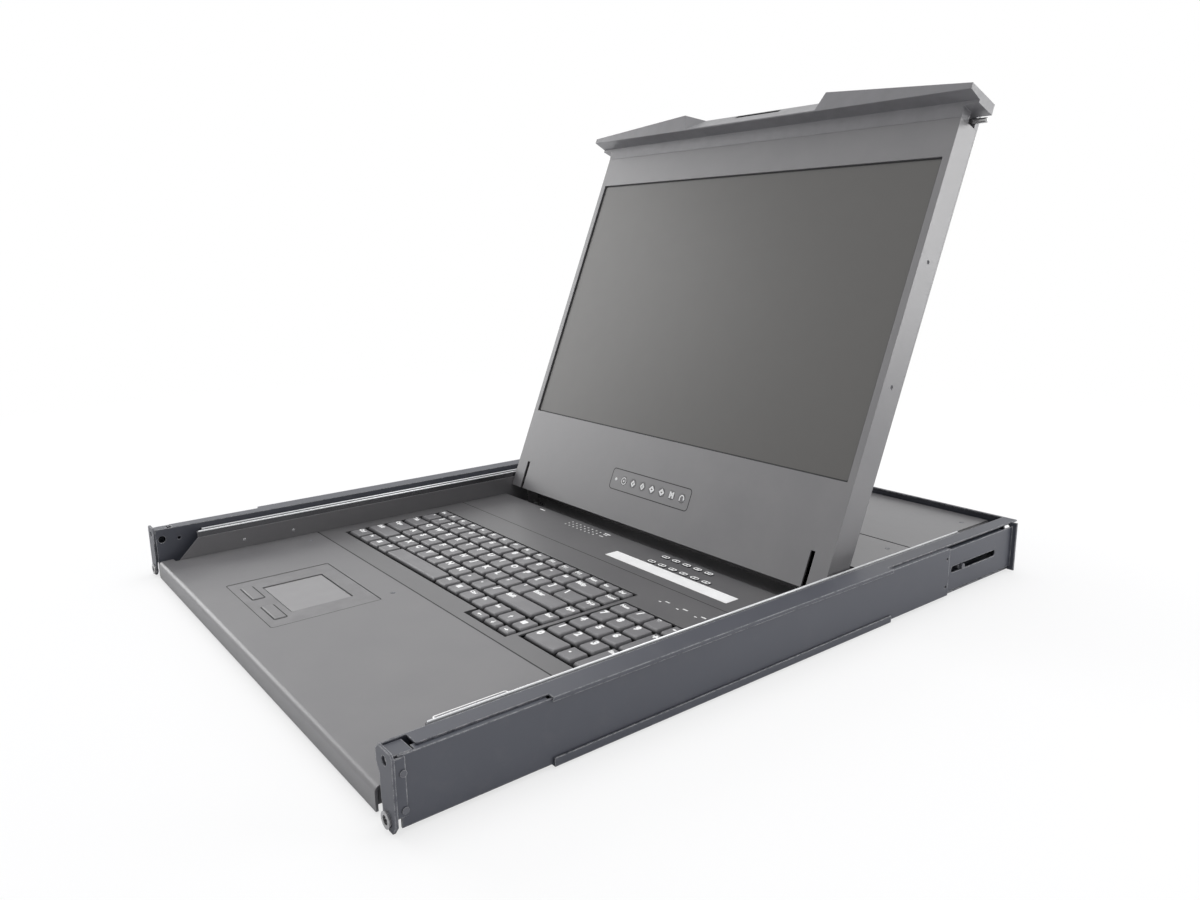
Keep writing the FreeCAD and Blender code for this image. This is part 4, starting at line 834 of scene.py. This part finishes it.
# Ring of painted shadow that the display's sheet lip casts on the screen glass: its width, corner radius and lift.
SCREEN_SHADOW_WIDE, SCREEN_SHADOW_CORNER, SCREEN_SHADOW_LIFT, GLASS_HIDDEN = 1.3 * MM, 1.5 * MM, 0.05 * MM, 3.0 * MM
# Seams between covers: the one in front, the one behind, half width.
SEAMS = (("palm_rest", "keyboard_frame", 0.6 * MM), ("keyboard_frame", "control_panel", 0.4 * MM))


class TraceGaps(bpy.types.Operator):
    """Dark joints around the touchpad and its buttons and between the covers, and a ring of painted shadow around
    the screen
    """
    bl_idname = "console.trace_gaps"
    bl_label = "Joints"

    def execute(self, context):
        joints, seams, screen_shadow = bmesh.new(), bmesh.new(), bmesh.new()
        palm, frame_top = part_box("palm_rest")[1].z + JOINT_LIFT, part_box("touchpad_frame")[1].z + JOINT_LIFT
        centre, half = middle_of(*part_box("touchpad_frame"))
        ring(joints, (centre.x, centre.y, palm), half.x, half.y, PAD_CORNER, PAD_JOINT)
        for node in ("touch_button_left", "touch_button_right"):
            centre, half = middle_of(*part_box(node))
            ring(joints, (centre.x, centre.y, frame_top), half.x, half.y, BUTTON_CORNER, BUTTON_JOINT)
        print_piece("touchpad_joints", joints, "dark_gap", "drawer")
        half_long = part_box("keyboard_frame")[1].x
        for ahead, behind, half_wide in SEAMS:
            middle = (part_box(ahead)[1].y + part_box(behind)[0].y) / 2
            rounded(seams, (0, middle, palm), half_long, half_wide, SEAM_CORNER)
        print_piece("cover_seams", seams, "dark_gap", "drawer")
        # Painted shadow of the lid's sheet lip: a dark ring laid all round the screen glass.
        glass = [LID.inverted() @ vert.co for vert in NODES["screen_glass"].data.vertices]
        low, high = min(point.y for point in glass), max(point.y for point in glass)
        right, front = max(point.x for point in glass), max(point.z for point in glass)
        cut = GLASS_HIDDEN + SCREEN_SHADOW_WIDE
        ring(screen_shadow, (0, (low + high) / 2, front + SCREEN_SHADOW_LIFT), right - cut, (high - low) / 2 - cut,
             SCREEN_SHADOW_CORNER, SCREEN_SHADOW_WIDE)
        print_piece("screen_gasket", screen_shadow, "dark_gap", "display", LID)
        return {"FINISHED"}


# ---- fixings

SIDE_SCREW, SIDE_SCREW_TALL, SIDE_SCREW_SUNK = 2.2 * MM, 0.6 * MM, 0.2 * MM
COVER_SCREW_SHARE = 0.77
# Cross recess: reach and half width as shares of the radius, depth as a share of the height.
RECESS_REACH, RECESS_ARM, RECESS_DEEP = 0.55, 0.13, 0.55
RIVET, RIVET_TALL, WALL_THICK = 1.5 * MM, 0.25 * MM, 1.2 * MM
WALL_RIVETS = ((72.0 * MM, 0.7 * MM), (117.0 * MM, 0.5 * MM))
LIP, LIP_RISE, LIP_SHORT = 0.8 * MM, 0.2 * MM, 2.0 * MM
# How far each rolled lip lies in from its member's edge.
LIP_INSETS = (("slide_inner", 0.8 * MM), ("slide_outer", 1.6 * MM))


def dome(mesh, radius, tall, matrix, recess=True):
    """Domed head, with or without a cross recess, standing along +Z before it is placed."""
    verts = bmesh.ops.create_uvsphere(mesh, u_segments=24, v_segments=12, radius=radius)["verts"]
    bmesh.ops.scale(mesh, verts=verts, vec=(1, 1, tall / radius))
    bmesh.ops.delete(mesh, geom=[vert for vert in verts if vert.co.z < -0.2 * tall], context="VERTS")
    verts = [vert for vert in verts if vert.is_valid]
    for vert in verts if recess else ():
        inside = math.hypot(vert.co.x, vert.co.y) < radius * RECESS_REACH
        if inside and min(abs(vert.co.x), abs(vert.co.y)) < radius * RECESS_ARM:
            vert.co.z -= tall * RECESS_DEEP
    bmesh.ops.transform(mesh, matrix=matrix, verts=verts)


class SetFixings(bpy.types.Operator):
    """Screw heads with their recesses, and the rivet heads inside the drawer's walls"""
    bl_idname = "console.set_fixings"
    bl_label = "Screws and rivets"

    def execute(self, context):
        covers, sides, walls = bmesh.new(), bmesh.new(), bmesh.new()
        for low, high in islands("cover_screws"):
            centre, half = middle_of(low, high)
            centre.z = low.z
            dome(covers, sizes().screw * COVER_SCREW_SHARE, 2 * half.z, Matrix.Translation(centre))
        new_piece("cover_screw_heads", covers, "black_sheet", "drawer", ["cover_screws"])
        for low, high in islands("lid_screws"):
            centre = middle_of(low, high)[0]
            side = math.copysign(1.0, centre.x)
            centre.x -= side * SIDE_SCREW_SUNK
            dome(sides, SIDE_SCREW, SIDE_SCREW_TALL, Matrix.Translation(centre) @ quarter(side, "Y"))
        new_piece("display_side_screws", sides, "black_sheet", "display", ["lid_screws"])
        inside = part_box("drawer_pan")[1].x - WALL_THICK
        for side in (-1, 1):
            for y, z in WALL_RIVETS:
                place = Matrix.Translation((side * inside, y, z)) @ quarter(-side, "Y")
                dome(walls, RIVET, RIVET_TALL, place, recess=False)
        new_piece("wall_rivets", walls, "zinc_screw", "drawer")
        return {"FINISHED"}


class RollLips(bpy.types.Operator):
    """Rolled lips along the upper edges of the slide members, bright partly from polish and partly from painted
    highlight
    """
    bl_idname = "console.roll_lips"
    bl_label = "Slide lips"

    def execute(self, context):
        for member, inset in LIP_INSETS:
            for hand in ("left", "right"):
                node = f"{member}_{hand}"
                low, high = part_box(node)
                x = high.x - inset if hand == "left" else low.x + inset
                place = Matrix.Translation((x, (low.y + high.y) / 2, high.z + LIP_RISE)) @ quarter(1, "X")
                mesh = bmesh.new()
                bmesh.ops.create_cone(mesh, cap_ends=True, segments=12, radius1=LIP, radius2=LIP,
                                      depth=high.y - low.y - LIP_SHORT, matrix=place)
                new_piece(f"{member}_lip_{hand}", mesh, "slide_lip_highlight", BODY_OF[node]).data.shade_smooth()
        return {"FINISHED"}


# ---- mouldings and sockets

# Moulded piece, the node it stands for, its finish and its edge radius.
MOULDINGS = (("grip_moulding", "handle", "grip_plastic", 0.9 * MM),
             ("touch_cap_left", "touch_button_left", "click_plastic", 0.8 * MM),
             ("touch_cap_right", "touch_button_right", "click_plastic", 0.8 * MM))


class MouldGrip(bpy.types.Operator):
    """The grip and the touchpad's buttons with their moulded edges"""
    bl_idname = "console.mould_grip"
    bl_label = "Grip and buttons"

    def execute(self, context):
        for name, node, slot, radius in MOULDINGS:
            soften(new_piece(name, edged_copy(node, radius), slot, BODY_OF[node], [node]))
        return {"FINISHED"}


# A socket wider than this is the mains inlet, which stays as packed.
INLET_WIDE = 20 * MM
SHELL, SHELL_TALL = (7.4 * MM, 3.2 * MM, 1.4 * MM, 0.5 * MM), 0.2 * MM
CONTACT, CONTACT_PITCH, CONTACT_ROW, CONTACT_SHIFT = 0.4 * MM, 2.2 * MM, 1.9 * MM, 0.6 * MM
CONTACT_LIFT = Vector((0, 0.06 * MM, 0))
POST, POST_LONG, POST_ASIDE, POST_SUNK, POST_EDGE = 2.6 * MM, 3.0 * MM, 12.2 * MM, 0.6 * MM, 0.2 * MM


class FitSockets(bpy.types.Operator):
    """Metal shells, contact holes and posts of the rear ports"""
    bl_idname = "console.fit_sockets"
    bl_label = "Rear sockets"

    def execute(self, context):
        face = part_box("rear_sockets")[1].y
        shells, holes, posts = bmesh.new(), bmesh.new(), bmesh.new()
        for low, high in islands("rear_sockets"):
            if high.x - low.x > INLET_WIDE:
                continue
            centre = Vector(((low.x + high.x) / 2, face, (low.z + high.z) / 2))
            self.shell(shells, Matrix.Translation(centre) @ quarter(-1, "X"))
            self.contacts(holes, Matrix.Translation(centre + CONTACT_LIFT) @ quarter(-1, "X"))
            for side in (-1, 1):
                place = Matrix.Translation(centre + Vector((side * POST_ASIDE, -POST_SUNK, 0)))
                bmesh.ops.create_cone(posts, cap_ends=True, segments=6, radius1=POST, radius2=POST,
                                      depth=POST_LONG, matrix=place @ quarter(-1, "X"))
        new_piece("port_shells", shells, "zinc_screw", "drawer")
        new_piece("port_contacts", holes, "dark_gap", "drawer")
        bmesh.ops.bevel(posts, geom=posts.edges[:], offset=POST_EDGE, affect="EDGES", segments=2,
                        profile=0.5, material=-1)
        new_piece("port_posts", posts, "zinc_screw", "drawer")
        return {"FINISHED"}

    def shell(self, mesh, place):
        """A flat ring raised into a low wall and placed on the rear."""
        verts = ring(mesh, (0, 0, 0), *SHELL)
        raised = corners_of(bmesh.ops.extrude_face_region(mesh, geom=links_of(verts, "link_faces"))["geom"])
        bmesh.ops.translate(mesh, verts=raised, vec=(0, 0, SHELL_TALL))
        bmesh.ops.transform(mesh, matrix=place, verts=verts + raised)
        bmesh.ops.recalc_face_normals(mesh, faces=mesh.faces)

    def contacts(self, mesh, place):
        """Three rows of five contact holes, each row a little further along."""
        for row in (-1, 0, 1):
            for at in (-2, -1, 0, 1, 2):
                spot = (CONTACT_PITCH * at + CONTACT_SHIFT * row, CONTACT_ROW * row, 0)
                verts = rounded(mesh, spot, CONTACT, CONTACT, CONTACT)
                bmesh.ops.transform(mesh, matrix=place, verts=verts)


# ---- stage

# Sky: the side it is brightest on, its least strength and how much is added there.
SKY_SIDE, SKY_LEAST, SKY_MORE = (-0.40, 0.35, 0.85), 0.28, 0.55
FLOOR_HALF, FLOOR_CLEAR = 6.0, 0.4 * MM
# Floor: middle of its soft patch, where that starts to fade and where it is white, share of white.
FLOOR_MIDDLE, FLOOR_NEAR, FLOOR_FAR, FLOOR_LEAST, FLOOR_MORE = (0.0, 0.29, 0.0), 0.45, 1.3, 0.7, 0.3
# Lamp: name, place, what it is aimed at, width, watts.
LAMPS = (("overhead", (-0.3, 0.65, 2.2), (0, 0.3, 0), 2.0, 22.0),
         ("left_window", (-2.3, -0.45, 0.95), (0, 0.3, 0.1), 1.4, 16.0),
         ("rear_window", (1.5, 2.0, 0.5), (0.2, 0.4, 0.05), 1.2, 17.0))
CAMERA_PLACE = (0.61526, -0.16294, 0.25938)
CAMERA_YAW, CAMERA_PITCH, CAMERA_ROLL = math.radians(52.09), math.radians(-12.74), math.radians(-0.77)
CAMERA_LENS = 27.67


def blend_shaders(tree, share, one, two, kind):
    """Mix two shaders and send the result to the output."""
    mix = add(tree, "ShaderNodeMixShader")
    for slot, source in zip(mix.inputs, (share, one.outputs[0], two.outputs[0])):
        tree.links.new(source, slot)
    give(tree, add(tree, kind), Surface=mix.outputs[0])


class SetStage(bpy.types.Operator):
    """Pale floor, soft lamps, even surroundings and the camera"""
    bl_idname = "console.set_stage"
    bl_label = "Stage"

    def execute(self, context):
        scene = context.scene
        scene.view_settings.view_transform = "Standard"
        self.world(scene)
        self.floor(scene)
        self.lamps(scene)
        self.camera(scene)
        return {"FINISHED"}

    def world(self, scene):
        """Soft sky for the light, plain white where it is seen directly or mirrored."""
        scene.world = bpy.data.worlds.new("Studio")
        scene.world.use_nodes = True
        tree = scene.world.node_tree
        tree.nodes.clear()
        rays = add(tree, "ShaderNodeLightPath").outputs
        seen = math_node(tree, "MAXIMUM", rays["Is Camera Ray"], rays["Is Transmission Ray"])
        seen = math_node(tree, "MAXIMUM", seen, rays["Is Glossy Ray"])
        lit = add(tree, "ShaderNodeBackground", Color=(0.97, 0.975, 1.0, 1))
        side = ramp(tree, -0.5, 1.0, measure(tree, "DOT_PRODUCT", place_on(tree, "Generated"), SKY_SIDE))
        give(tree, lit, Strength=plus(tree, times(tree, side, SKY_MORE), SKY_LEAST))
        white = add(tree, "ShaderNodeBackground", Color=(1, 1, 1, 1))
        blend_shaders(tree, seen, lit, white, "ShaderNodeOutputWorld")

    def floor(self, scene):
        """Matt floor that keeps the shadow near the part and fades to white further off."""
        mesh = bmesh.new()
        bmesh.ops.create_grid(mesh, x_segments=1, y_segments=1, size=FLOOR_HALF)
        bmesh.ops.translate(mesh, verts=mesh.verts, vec=(0, 0, CAD_BOX[0][2] - FLOOR_CLEAR))
        data = bpy.data.meshes.new("floor")
        mesh.to_mesh(data)
        mesh.free()
        floor = bpy.data.objects.new("floor", data)
        scene.collection.objects.link(floor)
        pale = bpy.data.materials.new("Pale Floor")
        pale.use_nodes = True
        tree = pale.node_tree
        tree.nodes.clear()
        matt = add(tree, "ShaderNodeBsdfDiffuse", Color=(0.93, 0.93, 0.93, 1))
        glow = add(tree, "ShaderNodeEmission")
        far = ramp(tree, FLOOR_NEAR, FLOOR_FAR, measure(tree, "DISTANCE", place_on(tree), FLOOR_MIDDLE))
        seen = add(tree, "ShaderNodeLightPath").outputs["Is Camera Ray"]
        share = times(tree, seen, plus(tree, times(tree, far, FLOOR_MORE), FLOOR_LEAST))
        blend_shaders(tree, share, matt, glow, "ShaderNodeOutputMaterial")
        data.materials.append(pale)

    def lamps(self, scene):
        """Square lamps that the camera does not see."""
        for name, place, aim, wide, power in LAMPS:
            lamp = bpy.data.lights.new(name, "AREA")
            lamp.shape = "SQUARE"
            lamp.size = wide
            lamp.energy = power
            holder = bpy.data.objects.new(name, lamp)
            holder.location = place
            holder.visible_camera = False
            holder.rotation_euler = (Vector(aim) - Vector(place)).to_track_quat("-Z", "Y").to_euler()
            scene.collection.objects.link(holder)

    def camera(self, scene):
        """Camera off the front right corner, above the rails."""
        lens = bpy.data.cameras.new("camera")
        lens.sensor_width = 36.0
        lens.lens = CAMERA_LENS
        lens.clip_start = 0.01
        level = math.cos(CAMERA_PITCH)
        ahead = Vector((-math.sin(CAMERA_YAW) * level, math.cos(CAMERA_YAW) * level, math.sin(CAMERA_PITCH)))
        across = ahead.cross(Vector((0, 0, 1))).normalized()
        upward = across.cross(ahead)
        right = across * math.cos(CAMERA_ROLL) + upward * math.sin(CAMERA_ROLL)
        above = upward * math.cos(CAMERA_ROLL) - across * math.sin(CAMERA_ROLL)
        turn = Matrix((right, above, -ahead)).transposed().to_4x4()
        holder = bpy.data.objects.new("camera", lens)
        holder.matrix_world = Matrix.Translation(CAMERA_PLACE) @ turn
        scene.collection.objects.link(holder)
        scene.camera = holder


STEPS = [FinishNodes, MouldKeys, PrintPanel, PrintMenu, TraceGaps, SetFixings, RollLips, MouldGrip,
         FitSockets, SetStage]


class ConsolePanel(bpy.types.Panel):
    """Lists the console's pieces, sizes and colours"""
    bl_idname = "VIEW3D_PT_console"
    bl_label = "Rack console"
    bl_space_type = "VIEW_3D"
    bl_region_type = "UI"
    bl_category = "Console"

    def draw(self, context):
        for step in STEPS:
            self.layout.operator(step.bl_idname)
        for holder in (context.scene.console_colours, context.scene.console_sizes):
            for name in holder.__annotations__:
                self.layout.prop(holder, name)


CLASSES = [ConsoleColours, ConsoleSizes, *STEPS, ConsolePanel]


def register():
    for item in CLASSES:
        bpy.utils.register_class(item)
    bpy.types.Scene.console_colours = PointerProperty(type=ConsoleColours)
    bpy.types.Scene.console_sizes = PointerProperty(type=ConsoleSizes)


def unregister():
    del bpy.types.Scene.console_colours
    del bpy.types.Scene.console_sizes
    for item in reversed(CLASSES):
        bpy.utils.unregister_class(item)


def main():
    register()
    for step in STEPS:
        family, name = step.bl_idname.split(".")
        getattr(getattr(bpy.ops, family), name)()


if __name__ == "__main__":
    main()
